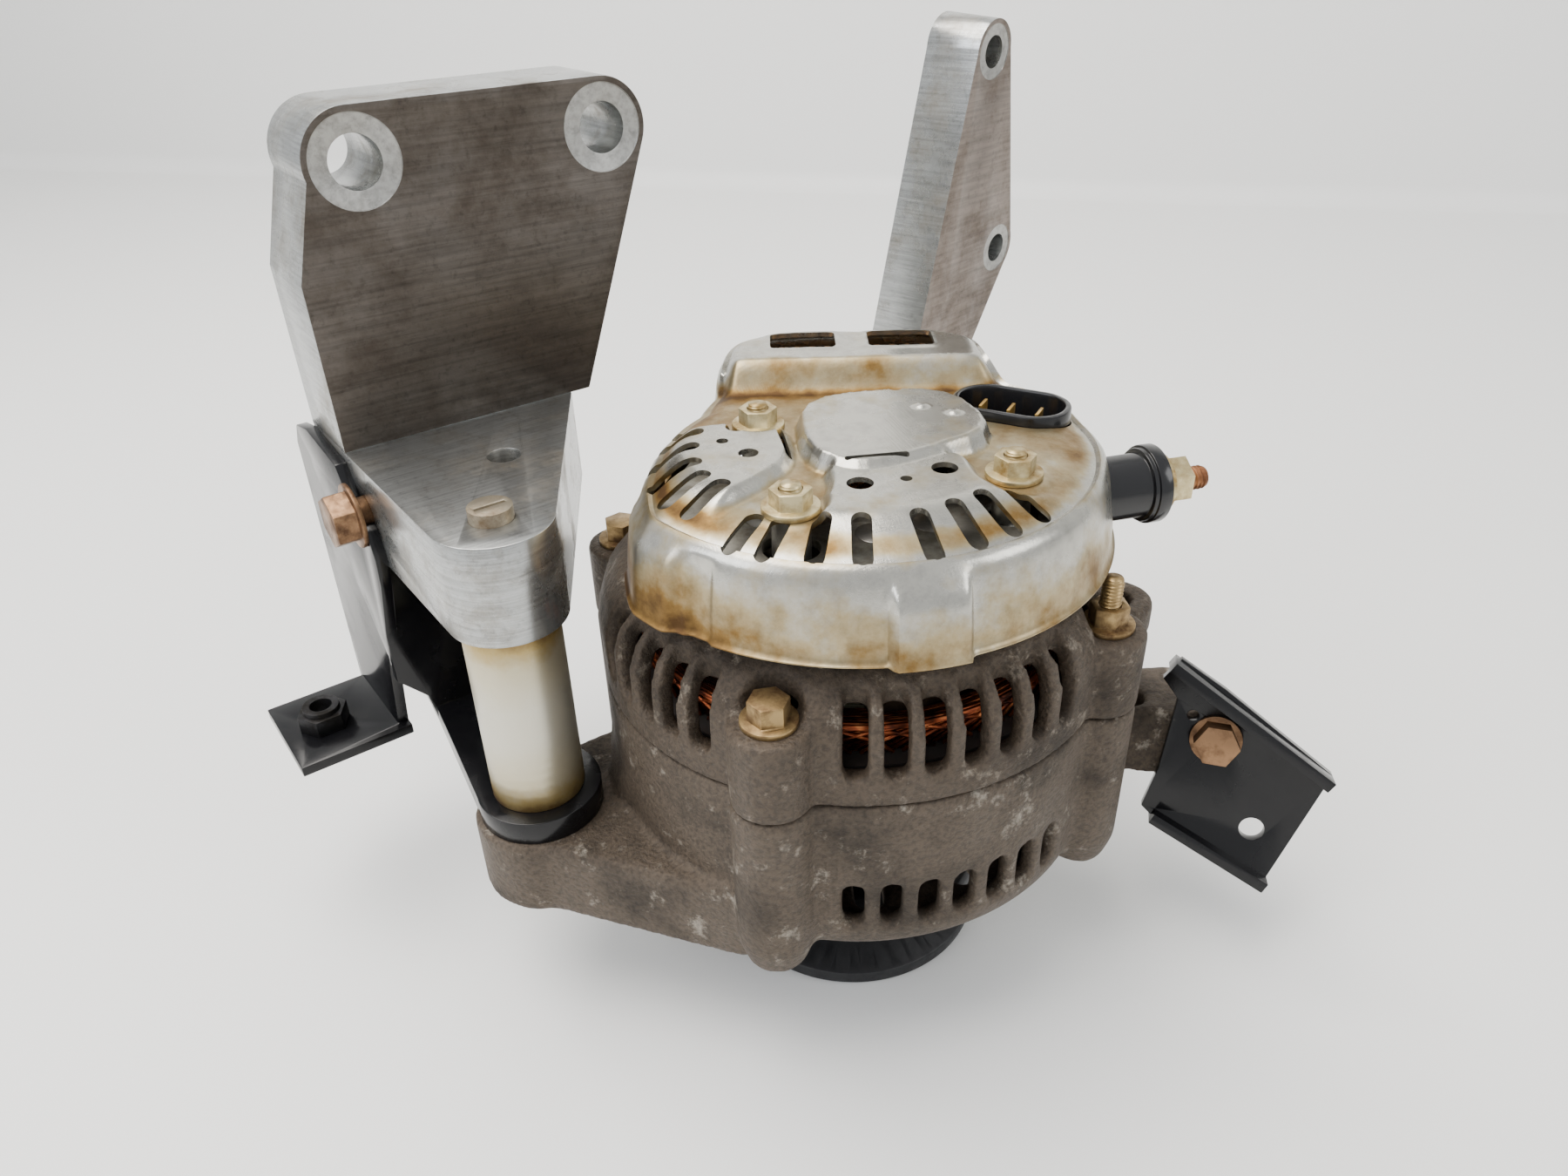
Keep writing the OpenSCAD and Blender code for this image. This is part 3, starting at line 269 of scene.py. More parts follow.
# Stator core: thin steel sheets stacked, varnished and pressed between the two frames.
# Its edge shows dark and finely lined.
lamination, tree, shader, spot = surface("varnished_steel_sheets_stacked", "#4c4947", 0.8, 0.5)
sheets = add(tree, "ShaderNodeTexWave", {"Vector": spot}, wave_type="BANDS",
             bands_direction="Z", Scale=160)
bumped(tree, sheets.outputs["Fac"], 0.3, 0.0002, shader.inputs["Normal"])


def dress(material, *names):
    """Gives CAD solids that keep their shape their finish."""
    for name in names:
        data = nodes[name].data
        data.materials.clear()
        data.materials.append(material)


dress(lamination, "stator_core")

# Stator windings: enamelled copper wire in bundles, which leave one slot and enter another.
# The loops at each end lean over each other and show through the vent slots.
copper_wire, tree, shader, spot = surface("enamelled_copper_wire_drawn", "#b4623a", 0.85, 0.34)
tone = add(tree, "ShaderNodeTexNoise", {"Vector": spot}, Scale=210, Detail=3)
tree.links.new(ramp(tree, tone.outputs["Fac"],
                    [(0.35, "#35180f"), (0.55, "#8a4426"), (0.75, "#d08452")]),
               shader.inputs["Base Color"])


def tube(points, radius, sides=6):
    """Verts and faces of a round wire through points, closed at both ends."""
    points = [Vector(p) for p in points]
    verts, faces = [], []
    for i, p in enumerate(points):
        ahead = (points[min(i + 1, len(points) - 1)] - points[max(i - 1, 0)]).normalized()
        side = ahead.cross(Vector((0, 0, 1)))
        side = side.normalized() if side.length > 1e-4 else Vector((1, 0, 0))
        up = side.cross(ahead)
        for k in range(sides):
            a = 2 * math.pi * k / sides
            verts.append(p + radius * (math.cos(a) * side + math.sin(a) * up))
    for i in range(len(points) - 1):
        for k in range(sides):
            n = (k + 1) % sides
            faces.append((i * sides + k, i * sides + n, (i + 1) * sides + n, (i + 1) * sides + k))
    last = (len(points) - 1) * sides
    faces.append(tuple(range(sides - 1, -1, -1)))
    faces.append(tuple(last + k for k in range(sides)))
    return verts, faces


def joined(parts):
    """Puts several (verts, faces) together."""
    verts, faces = [], []
    for v, f in parts:
        base = len(verts)
        verts += v
        faces += [tuple(i + base for i in face) for face in f]
    return verts, faces


def ring_of(name, part, material, count, start_deg=0.0):
    """Repeats one shape evenly about the shaft with a node tree, then bakes the result."""
    piece = mesh_piece(name, part[0], part[1], material)
    group = bpy.data.node_groups.new(name + "_ring", "GeometryNodeTree")
    group.is_modifier = True
    group.interface.new_socket("Geometry", in_out="INPUT", socket_type="NodeSocketGeometry")
    group.interface.new_socket("Geometry", in_out="OUTPUT", socket_type="NodeSocketGeometry")
    sockets = {}
    for label, kind, value in (("Copies", "NodeSocketInt", count),
                               ("Start angle", "NodeSocketFloat", math.radians(start_deg))):
        socket = group.interface.new_socket(label, in_out="INPUT", socket_type=kind)
        sockets[socket.identifier] = value
    given = group.nodes.new("NodeGroupInput")
    result = group.nodes.new("NodeGroupOutput")
    line = add(group, "GeometryNodeMeshLine", {"Count": given.outputs["Copies"]})
    line.inputs["Offset"].default_value = (0, 0, 0)
    index = add(group, "GeometryNodeInputIndex")
    share = add(group, "ShaderNodeMath", operation="DIVIDE")
    group.links.new(index.outputs[0], share.inputs[0])
    group.links.new(given.outputs["Copies"], share.inputs[1])
    around = add(group, "ShaderNodeMath", operation="MULTIPLY_ADD")
    group.links.new(share.outputs[0], around.inputs[0])
    around.inputs[1].default_value = 2 * math.pi
    group.links.new(given.outputs["Start angle"], around.inputs[2])
    spin = add(group, "ShaderNodeCombineXYZ", {"Z": around.outputs[0]})
    copies = add(group, "GeometryNodeInstanceOnPoints",
                 {"Points": line.outputs["Mesh"], "Instance": given.outputs["Geometry"],
                  "Rotation": spin.outputs[0]})
    real = add(group, "GeometryNodeRealizeInstances", {"Geometry": copies.outputs[0]})
    coat = add(group, "GeometryNodeSetMaterial", {"Geometry": real.outputs[0]})
    coat.inputs["Material"].default_value = material
    group.links.new(coat.outputs[0], result.inputs[0])
    modifier = piece.modifiers.new("ring", "NODES")
    modifier.node_group = group
    for identifier, value in sockets.items():
        modifier[identifier] = value
    baked(piece)
    piece.data.shade_smooth()
    return piece


wires = np.random.default_rng(7)
low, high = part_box("stator_windings")
core_low, core_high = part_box("stator_core")
loops = []
loop_layers, inner_loop_r, layer_step, loop_wire_r = 9, 0.0455, 0.0009, 0.00055
slot_rows, slot_wire_r, slot_end, slot_count = (0.0462, 0.0483, 0.0503), 0.001, 0.001, 36
for root, tip in ((core_low.z, low.z), (core_high.z, high.z)):
    for layer in range(loop_layers):
        radius = inner_loop_r + layer_step * layer
        reach = (tip - root) * (0.6 + 0.036 * layer + 0.05 * wires.random())
        shift = wires.uniform(-0.03, 0.03)
        path = []
        for k in range(11):
            t = k / 10
            angle = shift + math.radians(60) * t + 0.02 * math.sin(9 * t + layer)
            lift = math.sin(math.pi * t) ** 0.62
            r = radius + 0.0008 * lift + 0.0002 * wires.random()
            path.append((r * math.cos(angle), r * math.sin(angle),
                         root + (tip - root) * 0.02 + (reach - (tip - root) * 0.04) * lift))
        loops.append(tube(path, loop_wire_r, 5))
for r in slot_rows:
    loops.append(tube([(r, 0, core_low.z - slot_end), (r, 0, core_high.z + slot_end)],
                      slot_wire_r, 8))
windings = ring_of("stator_wire_loops", joined(loops), copper_wire, slot_count)
settle(windings, "stator_windings", "housing")


# Through bolts, stud and nut: M5 steel with flanged hex heads, zinc plated and gone yellow brown.
# The bolts pull the two frames together; the fourth place has a stud with a nut on it.
def metal(name, colour, dark, roughness, bump_mm=0.05, grain=420.0, metallic=0.9):
    """A bare, plated or painted metal with tarnish patches and a fine skin."""
    material, tree, shader, spot = surface(name, colour, metallic, roughness)
    patches = add(tree, "ShaderNodeTexNoise", {"Vector": spot}, Scale=130, Detail=5, Roughness=0.65)
    skin = add(tree, "ShaderNodeTexNoise", {"Vector": spot}, Scale=grain, Detail=3)
    tree.links.new(ramp(tree, patches.outputs["Fac"], [(0.36, dark), (0.58, colour)]),
                   shader.inputs["Base Color"])
    tree.links.new(ramp(tree, patches.outputs["Fac"],
                        [(0.35, min(roughness + 0.25, 1.0)), (0.6, roughness)]),
                   shader.inputs["Roughness"])
    bumped(tree, skin.outputs["Fac"], 0.5, bump_mm / 1000, shader.inputs["Normal"])
    return material


def sharp_copy(name, node, material, edge_mm, body):
    """A machined or pressed solid with its edges broken."""
    piece = cad_copy(name, node, material)
    work = bmesh.new()
    work.from_mesh(piece.data)
    bmesh.ops.dissolve_limit(work, angle_limit=math.radians(0.5), verts=work.verts,
                             edges=work.edges)
    work.to_mesh(piece.data)
    work.free()
    edge = piece.modifiers.new("broken_edge", "BEVEL")
    edge.width = edge_mm / 1000
    edge.segments = 2
    edge.limit_method = "ANGLE"
    edge.angle_limit = math.radians(40)
    edge.miter_outer = "MITER_ARC"
    baked(piece)
    piece.data.shade_smooth()
    piece.data.set_sharp_from_angle(angle=math.radians(32))
    settle(piece, node, body)
    return piece


def thread(name, foot, along, radius, length, pitch, material, body):
    """A screw thread: a rod whose wall falls and rises once each pitch, wound as a helix."""
    along = Vector(along).normalized()
    side = along.orthogonal().normalized()
    up = along.cross(side)
    sides, rows_per_turn, deepest, end_taper = 24, 8, 0.55 * pitch, 0.5 * pitch
    rows = int(length / pitch * rows_per_turn)
    verts, faces = [], []
    for j in range(rows + 1):
        z = length * j / rows
        for k in range(sides):
            turn_part = (z / pitch - k / sides) % 1.0
            depth = deepest * abs(2 * turn_part - 1)
            depth = max(depth, end_taper * max(0.0, 1 - (length - z) / pitch))
            r = radius - depth
            a = 2 * math.pi * k / sides
            verts.append(Vector(foot) + along * z + r * (math.cos(a) * side + math.sin(a) * up))
    for j in range(rows):
        for k in range(sides):
            n = (k + 1) % sides
            faces.append((j * sides + k, j * sides + n, (j + 1) * sides + n, (j + 1) * sides + k))
    faces.append(tuple(range(sides - 1, -1, -1)))
    faces.append(tuple(rows * sides + k for k in range(sides)))
    piece = mesh_piece(name, verts, faces, material)
    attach(piece, body)
    return piece


yellow_zinc = metal("zinc_plated_steel_yellowed", "#a38a60", "#5b4630", 0.36)
sharp_copy("through_bolts_hexed", "through_bolts", yellow_zinc, 0.35, "housing")
sharp_copy("stud_nut_hexed", "through_stud_nut", yellow_zinc, 0.35, "housing")
low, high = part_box("through_stud")
stud_foot = ((low.x + high.x) / 2, (low.y + high.y) / 2, low.z)
stud_r, stud_pitch = (high.x - low.x) / 2, 0.0009
through_stud = thread("through_stud_thread", stud_foot, (0, 0, 1), stud_r, high.z - low.z,
                      stud_pitch, yellow_zinc, "housing")
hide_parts("through_stud")

# Bearings: hardened steel rings ground bright, seven balls each, and stamped brass cages.
# The retainer is a steel plate held by four slotted screws inside the drive-end frame.
bright_steel = metal("bearing_steel_ground", "#c9cbcd", "#a9abad", 0.16)
turned_steel = metal("steel_turned_bare", "#a3a29d", "#7f7a70", 0.34)
cage_brass = metal("brass_stamped", "#c9a45c", "#96763c", 0.3)
dress(bright_steel, "front_bearing_outer", "rear_bearing_outer", "front_bearing_inner",
      "rear_bearing_inner")
dress(cage_brass, "front_bearing_cage", "rear_bearing_cage")
sharp_copy("retainer_plate", "bearing_retainer", turned_steel, 0.3, "housing")
sharp_copy("retainer_screw_set", "retainer_screws", yellow_zinc, 0.2, "housing")


def ball(centre, radius, sides=28):
    """Verts and faces of a sphere."""
    verts, faces = [], []
    rows = sides // 2
    for j in range(1, rows):
        b = math.pi * j / rows
        for k in range(sides):
            a = 2 * math.pi * k / sides
            verts.append((centre[0] + radius * math.sin(b) * math.cos(a),
                          centre[1] + radius * math.sin(b) * math.sin(a),
                          centre[2] + radius * math.cos(b)))
    verts += [(centre[0], centre[1], centre[2] + side * radius) for side in (1, -1)]
    top, bottom, last = len(verts) - 2, len(verts) - 1, (rows - 2) * sides
    for k in range(sides):
        n = (k + 1) % sides
        faces.append((top, k, n))
        faces.append((bottom, last + n, last + k))
        for j in range(rows - 2):
            faces.append((j * sides + k, (j + 1) * sides + k, (j + 1) * sides + n, j * sides + n))
    return verts, faces


ball_count = 7
for end in ("front", "rear"):
    low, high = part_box(end + "_bearing_balls")
    radius = (high.z - low.z) / 2
    race = ring_of(end + "_ball_set", ball((high.x - radius, 0, (low.z + high.z) / 2), radius),
                   bright_steel, ball_count)
    settle(race, end + "_bearing_balls", end + "_cage")

# Rotor: a turned shaft with two forged claw poles about the field coil, and a fan at each end.
# The claws are rough and brown with heat; the coil is enamelled wire on a nylon bobbin.
claw_steel = metal("forged_steel_heat_browned", "#7c6a58", "#4c3c30", 0.55, 0.12, 260)
nylon = surface("nylon_moulded_cream", "#d8d0b6", 0, 0.5)[0]
wound_copper, tree, shader, spot = surface("enamelled_copper_wire_wound", "#a4552e", 0.8, 0.36)
lay = add(tree, "ShaderNodeTexWave", {"Vector": spot}, wave_type="BANDS", bands_direction="Z",
          Scale=320)
bumped(tree, lay.outputs["Fac"], 0.6, 0.0003, shader.inputs["Normal"])
dress(turned_steel, "rotor_shaft", "spacer_collar")
dress(wound_copper, "field_coil")
dress(nylon, "coil_bobbin")
fan_steel = metal("steel_sheet_pressed_grey", "#77767a", "#55534f", 0.42)
sharp_copy("claws_front", "claw_pole_front", claw_steel, 0.7, "rotor")
sharp_copy("claws_rear", "claw_pole_rear", claw_steel, 0.7, "rotor")
sharp_copy("fan_front_blades", "front_fan", fan_steel, 0.25, "rotor")
sharp_copy("fan_rear_blades", "rear_fan", fan_steel, 0.25, "rotor")

# Slip rings: two copper rings on an insulating sleeve, with two carbon brushes on them.
# The brushes slide in the regulator's moulded holder and are pushed by small coil springs.
ring_copper = metal("copper_turned", "#c98552", "#a5643a", 0.25)
brown_resin = surface("phenolic_moulded_dark", "#33291f", 0, 0.45)[0]
dark_resin, tree, shader, spot = surface("nylon_glass_filled_black", "#1b1b1d", 0, 0.42)
skin = add(tree, "ShaderNodeTexNoise", {"Vector": spot}, Scale=700, Detail=3)
bumped(tree, skin.outputs["Fac"], 0.3, 0.0001, shader.inputs["Normal"])
graphite = metal("carbon_pressed_brush", "#3d3b3a", "#2a2928", 0.5)
dress(ring_copper, "slip_rings")
dress(brown_resin, "slip_ring_sleeve")
sharp_copy("brush_upper_block", "brush_negative", graphite, 0.25, "brush_negative")
sharp_copy("brush_lower_block", "brush_positive", graphite, 0.25, "brush_positive")
sharp_copy("brush_holder_moulding", "brush_holder", dark_resin, 0.4, "housing")
cover_turn = math.radians(-16.8)
outward = Vector((-math.sin(cover_turn), math.cos(cover_turn), 0))
sideways = Vector((math.cos(cover_turn), math.sin(cover_turn), 0))
spring_turns, steps_per_turn, wire_r, brush_travel, filled = 6, 20, 0.0003, 0.004, 0.94
for sign in ("positive", "negative"):
    low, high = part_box("brush_spring_" + sign)
    middle = (low + high) / 2
    coil_r = (high.z - low.z) / 2 - wire_r
    half = ((high.y - low.y) / 2 - (coil_r + wire_r) * abs(sideways.y)) / outward.y
    path = []
    for k in range(spring_turns * steps_per_turn + 1):
        t = k / (spring_turns * steps_per_turn)
        a = 2 * math.pi * spring_turns * t
        path.append(middle + outward * half * (2 * t - 1) * filled
                    + coil_r * (math.cos(a) * sideways + math.sin(a) * Vector((0, 0, 1))))
    coil = mesh_piece("brush_spring_%s_coil" % sign, *tube(path, wire_r, 10), bright_steel)
    settle(coil, "brush_spring_" + sign, "housing")
    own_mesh(coil)

# Regulator and rectifier: two aluminium heat sinks with five pressed diodes in each, a board
# between them, and the regulator's moulding with bronze-coloured cooling fins under the windows.
sink_metal = metal("aluminium_stamped_bare", "#b5b2a9", "#8b867a", 0.4)
diode_metal = metal("nickel_plated_copper", "#a9a6a0", "#8a867e", 0.3)
fin_bronze = metal("aluminium_sheet_bronzed", "#c39a66", "#7d5c3a", 0.4)
board = surface("phenolic_board_black", "#2a2523", 0, 0.6)[0]
sharp_copy("heat_sink_lower", "rectifier_plate_negative", sink_metal, 0.3, "housing")
sharp_copy("heat_sink_upper", "rectifier_plate_positive", sink_metal, 0.3, "housing")
sharp_copy("terminal_board", "rectifier_board", board, 0.3, "housing")
sharp_copy("diode_set", "diodes", diode_metal, 0.15, "housing")
sharp_copy("regulator_moulding", "voltage_regulator", dark_resin, 0.6, "housing")
sharp_copy("regulator_fin_set", "regulator_fins", fin_bronze, 0.15, "housing")

# Rear cover: pressed aluminium sheet 1.2 mm thick, satin, with raised panels and vent slots.
# Heat and oil have stained it gold and brown in the hollows and along the foot of its wall.
satin_cover, tree, shader, spot = surface("pressed_aluminium_satin_stained", "#b9b6ac", 0.95, 0.27)
stain = add(tree, "ShaderNodeAttribute", attribute_name="stain")
cloud = add(tree, "ShaderNodeTexNoise", {"Vector": spot}, Scale=75, Detail=6, Roughness=0.62)
fine_cloud = add(tree, "ShaderNodeTexNoise", {"Vector": spot}, Scale=240, Detail=5, Roughness=0.7)
amount = add(tree, "ShaderNodeMath", operation="MULTIPLY_ADD")
tree.links.new(cloud.outputs["Fac"], amount.inputs[0])
amount.inputs[1].default_value = 0.9
tree.links.new(stain.outputs["Fac"], amount.inputs[2])
tint = ramp(tree, amount.outputs[0], [(0.48, "#b4b2aa"), (0.66, "#a39575"), (0.86, "#7d6238"),
                                      (1.0, "#4f3a24")])
specks = ramp(tree, fine_cloud.outputs["Fac"], [(0.3, 0.72), (0.55, 1.0)])
tree.links.new(darkened(tree, tint, specks, 0.8), shader.inputs["Base Color"])
tree.links.new(ramp(tree, amount.outputs[0], [(0.45, 0.26), (0.95, 0.55)]),
               shader.inputs["Roughness"])
# Rolling and wiping left fine lines both ways, about 0.3 mm apart.
normal = shader.inputs["Normal"]
for scale in ((60, 2600, 60), (2600, 60, 2600)):
    stretch = add(tree, "ShaderNodeMapping", {"Vector": spot})
    stretch.inputs["Scale"].default_value = scale
    lines = add(tree, "ShaderNodeTexNoise", {"Vector": stretch.outputs[0]}, Scale=1, Detail=2)
    normal = bumped(tree, lines.outputs["Fac"], 0.35, 0.00006, normal).inputs["Normal"]

# Everything about the cover is in millimetres in its own turned frame until it is placed.
back_edge = [(-48, -27), (-48, -10), (-45, 5), (-38, 20), (-34, 33), (-32, 46), (-28.5, 54),
             (-20, 59), (5, 59.5), (28, 58), (36, 53), (39, 41), (49, 31), (55, 22), (57, 10),
             (58.4, -5)]
edge_angles = np.unwrap([math.atan2(y, x) for x, y in back_edge][::-1])
edge_radii = [math.hypot(x, y) for x, y in back_edge][::-1]
left_panel = [(-15, 3), (-26, 5), (-36, 3), (-60, 5), (-62, -45), (-38, -46), (-30, -36),
              (-21, -26), (-14.5, -17)]
front_panel = [(-8, -20), (2, -17), (16, -14), (24, -16), (25, -28), (30, -34), (44, -30),
               (60, -30), (50, -62), (-18, -66), (-13, -50), (-9, -36), (-7, -28)]
plateau = [(-13.1, 15.6), (24, 20.8), (33.8, -6.5), (8.9, -21.4), (-2.3, -24.1), (-12.3, -14.7)]
seats = [(-22.3, 6.1), (-15.4, -36.5), (32.8, -23.6)]
pips = [(16.2, 6), (23.3, 1.9)]
window_size, window_at = (17.2, 12), [(-19.2, 40), (6.6, 40)]
open_edge_r = 58.5
foot_z, seat_z, plateau_z, ridge_z = 124.8, 147.4, 151.6, 154.5


def eased(polygon):
    """Cuts a polygon's corners twice, which rounds them."""
    for _ in range(2):
        polygon = [tuple(a * (1 - t) + b * t for a, b in zip(p, q))
                   for p, q in zip(polygon, polygon[1:] + polygon[:1]) for t in (0.22, 0.78)]
    return polygon


left_panel, front_panel, plateau = eased(left_panel), eased(front_panel), eased(plateau)


def rim_radius(angles):
    """How far the cover's wall stands from the shaft, at its waist, for each angle."""
    start = edge_angles[0]
    turned = (angles - start) % (2 * math.pi) + start
    dense = np.linspace(start, start + 2 * math.pi, 1441)
    join = np.clip((dense - edge_angles[-1]) / 0.15, 0, 1)
    radii = np.where(dense > edge_angles[-1], edge_radii[-1] * (1 - join) + open_edge_r * join,
                     np.interp(dense, edge_angles, edge_radii))
    wide = np.concatenate([radii[:-1]] * 3)
    soft = np.convolve(wide, np.hanning(25) / np.hanning(25).sum(), "same")[1440:2880]
    return np.interp(turned, dense, np.append(soft, soft[0]))


def inside_by(x, y, polygon):
    """Signed distance to a polygon's edge, positive inside."""
    near = np.full(x.shape, 1e9)
    inside = np.zeros(x.shape, bool)
    for (x0, y0), (x1, y1) in zip(polygon, polygon[1:] + polygon[:1]):
        dx, dy = x1 - x0, y1 - y0
        t = np.clip(((x - x0) * dx + (y - y0) * dy) / (dx * dx + dy * dy), 0, 1)
        near = np.minimum(near, np.hypot(x - x0 - t * dx, y - y0 - t * dy))
        crosses = ((y0 > y) != (y1 > y)) & (x < dx * (y - y0) / (dy if dy else 1e-9) + x0)
        inside ^= crosses
    return np.where(inside, near, -near)


def smooth(value, low, high):
    """Rises from 0 at low to 1 at high without a corner."""
    t = np.clip((value - low) / (high - low), 0, 1)
    return t * t * (3 - 2 * t)


def crown_height(x, y):
    """Height of the pressed top above the pulley's rim."""
    r = np.hypot(x, y)
    floor_z = 147.2 - 1.6 * smooth(r, 44, 56)
    panel_z = 150.1 - 4.3 * smooth(r, 41, 55)
    z = floor_z
    for polygon in (left_panel, front_panel):
        z = z + (panel_z - floor_z) * smooth(inside_by(x, y, polygon), -1.2, 2.0)
    z = z + (plateau_z - z) * smooth(inside_by(x, y, plateau), -1.2, 1.4)
    ridge = smooth(y, 26, 33) * smooth(x, -34, -28) * smooth(-x, -40, -34)
    z = z + (ridge_z - z) * ridge
    for sx, sy in seats:
        near = 1 - smooth(np.hypot(x - sx, y - sy), 6.6, 8.6)
        z = z + (seat_z - z) * near
    for px, py in pips:
        z = z + 0.7 * (1 - smooth(np.hypot(x - px, y - py), 0.6, 2.4))
    for wx, wy in window_at:
        mid_x, mid_y = wx + window_size[0] / 2, wy + window_size[1] / 2
        edge = np.hypot(np.maximum(np.abs(x - mid_x) - window_size[0] / 2 + 1, 0),
                        np.maximum(np.abs(y - mid_y) - window_size[1] / 2 + 1, 0))
        z = z + 0.3 * smooth(edge, 0.6, 1.2) * (1 - smooth(edge, 2.0, 3.0))
    return z


def lift_of_wall(angles):
    """Outward bulges pressed into the wall, in millimetres."""
    degrees = np.degrees((angles + math.pi) % (2 * math.pi) - math.pi)
    front = smooth(degrees, -87.5, -85.6) * (1 - smooth(degrees, -72.5, -70.6))
    left = smooth(degrees, -161, -157) * (1 - smooth(degrees, -133, -130))
    groove = smooth(degrees, -129, -127) * (1 - smooth(degrees, -123.5, -121.5))
    return 2.6 * front + 1.8 * left - 1.0 * groove


steps_around, steps_inward, widest_r, edge_blend, level = 420, 88, 63.6, 1.2, 150
around = np.linspace(0, 2 * math.pi, steps_around, endpoint=False)
waist = rim_radius(around)
edge_x, edge_y = (waist - 3.5) * np.cos(around), (waist - 3.5) * np.sin(around)
edge_z = 145.6 + 7.0 * smooth(edge_y, 28, 38) * smooth(edge_x, -36, -29) * smooth(-edge_x, -42, -35)
rows = []
for drop, out in ((1.0, 3.1), (0.985, 3.1), (0.97, 2.6), (0.93, 2.2), (0.85, 2.1), (0.72, 1.9),
                  (0.58, 1.5), (0.44, 1.0), (0.32, 0.6), (0.22, 0.15), (0.14, -0.3), (0.08, -0.9),
                  (0.04, -1.7), (0.012, -2.5)):
    bulge = lift_of_wall(around) * smooth(np.full(steps_around, drop), 0.1, 0.3)
    r = np.minimum(waist + out + bulge, widest_r)
    rows.append(np.stack([r * np.cos(around), r * np.sin(around),
                          edge_z - drop * (edge_z - foot_z)], 1))
for t in np.linspace(0, 1, steps_inward, endpoint=False):
    r = (waist - 3.5) * (1 - t)
    x, y = r * np.cos(around), r * np.sin(around)
    rise = edge_z + 0.9 * (waist - 3.5 - r)
    top = crown_height(x, y)
    lower = np.exp(-(rise - level) / edge_blend) + np.exp(-(top - level) / edge_blend)
    rows.append(np.stack([x, y, level - edge_blend * np.log(lower)], 1))
verts = np.concatenate(rows + [np.array([[0, 0, crown_height(np.zeros(1), np.zeros(1))[0]]])])
faces = [(j * steps_around + k, j * steps_around + (k + 1) % steps_around,
          (j + 1) * steps_around + (k + 1) % steps_around, (j + 1) * steps_around + k)
         for j in range(len(rows) - 1) for k in range(steps_around)]
last = (len(rows) - 1) * steps_around
faces += [(last + k, last + (k + 1) % steps_around, last + steps_around)
          for k in range(steps_around)]
to_part = Matrix.Rotation(cover_turn, 4, "Z") @ Matrix.Scale(0.001, 4)
cover = mesh_piece("rear_cover_pressing", [to_part @ Vector(v) for v in verts], faces, satin_cover)
sheet = cover.modifiers.new("sheet", "SOLIDIFY")
sheet.thickness = 0.0012
sheet.offset = -1
baked(cover)


def prism(outline, z0, z1):
    """A straight-sided cutter over an outline."""
    n = len(outline)
    verts = [(x, y, z0) for x, y in outline] + [(x, y, z1) for x, y in outline]
    faces = [(k, (k + 1) % n, n + (k + 1) % n, n + k) for k in range(n)]
    return verts, faces + [tuple(range(n - 1, -1, -1)), tuple(range(n, 2 * n))]


def slot_outline(x0, y0, x1, y1, half_width, steps=10):
    """A straight slot with round ends, from one end's centre to the other's."""
    a = math.atan2(y1 - y0, x1 - x0)
    return [(x0 + half_width * math.cos(a + b), y0 + half_width * math.sin(a + b))
            for b in np.linspace(math.pi / 2, 3 * math.pi / 2, steps)] + \
           [(x1 + half_width * math.cos(a + b), y1 + half_width * math.sin(a + b))
            for b in np.linspace(-math.pi / 2, math.pi / 2, steps)]


def hole_outline(x, y, r):
    """A round hole, as a slot of almost no length."""
    return slot_outline(x - 0.01, y, x + 0.01, y, r)


def rounded_box(x0, y0, x1, y1, r):
    """A rectangle with round corners."""
    corners = [(x1 - r, y1 - r, 0), (x0 + r, y1 - r, 90), (x0 + r, y0 + r, 180),
               (x1 - r, y0 + r, 270)]
    return [(x + r * math.cos(math.radians(a + b)), y + r * math.sin(math.radians(a + b)))
            for x, y, a in corners for b in (0, 30, 60, 90)]


def ngon(radius, sides):
    """The corners of an even-sided outline about the middle."""
    return [(radius * math.cos(a), radius * math.sin(a))
            for a in np.linspace(0, 2 * math.pi, sides, False)]


def moved(piece, matrix):
    for vert in piece.data.vertices:
        vert.co = matrix @ vert.co


vents = [(-120, 50.5), (-112.5, 50.5), (-102, 49.6), (-92, 49.6), (-77, 49.6), (-66.5, 48.6),
         (-57, 48.3), (-47.5, 48.2), (-136, 46), (-144.5, 46.5), (-154, 45), (-166, 43),
         (-178, 41.3), (172, 41.5)]
vent_half_length, vent_half_width, cut_top = 4.5, 2.1, 160
cutters = []
for degrees, r in vents:
    a, r0, r1 = math.radians(degrees), r - vent_half_length, r + vent_half_length
    cutters.append(prism(slot_outline(r0 * math.cos(a), r0 * math.sin(a), r1 * math.cos(a),
                                      r1 * math.sin(a), vent_half_width), 134, cut_top))
for x, y, r in ((-27, 0.7, 2.9), (-30.3, -7.4, 1.4), (-24.3, -14.2, 2.3), (-0.8, -30.6, 2.9),
                (9, -29, 1.3), (17.7, -24.4, 2.9), (11.2, 18.3, 1.9)):
    cutters.append(prism(hole_outline(x, y, r), 140, cut_top))
for x0, y0, x1, y1 in ((-17.9, 1, -15.4, -13.3), (-2.8, -21.2, 10, -19.4)):
    cutters.append(prism(slot_outline(x0, y0, x1, y1, 0.7), 140, cut_top))
for x, y in window_at:
    cutters.append(prism(rounded_box(x, y, x + window_size[0], y + window_size[1], 1.6), 140,
                         cut_top))
for x, y in seats:
    cutters.append(prism(hole_outline(x, y, 2.8), 140, cut_top))
plug_x, plug_y, plug_turn, plug_half, plug_hole_r = 39, 13, math.radians(-28), 5.5, 9.3
plug_dx, plug_dy = plug_half * math.cos(plug_turn), plug_half * math.sin(plug_turn)
cutters.append(prism(slot_outline(plug_x - plug_dx, plug_y - plug_dy, plug_x + plug_dx,
                                  plug_y + plug_dy, plug_hole_r, 16), 138, cut_top))
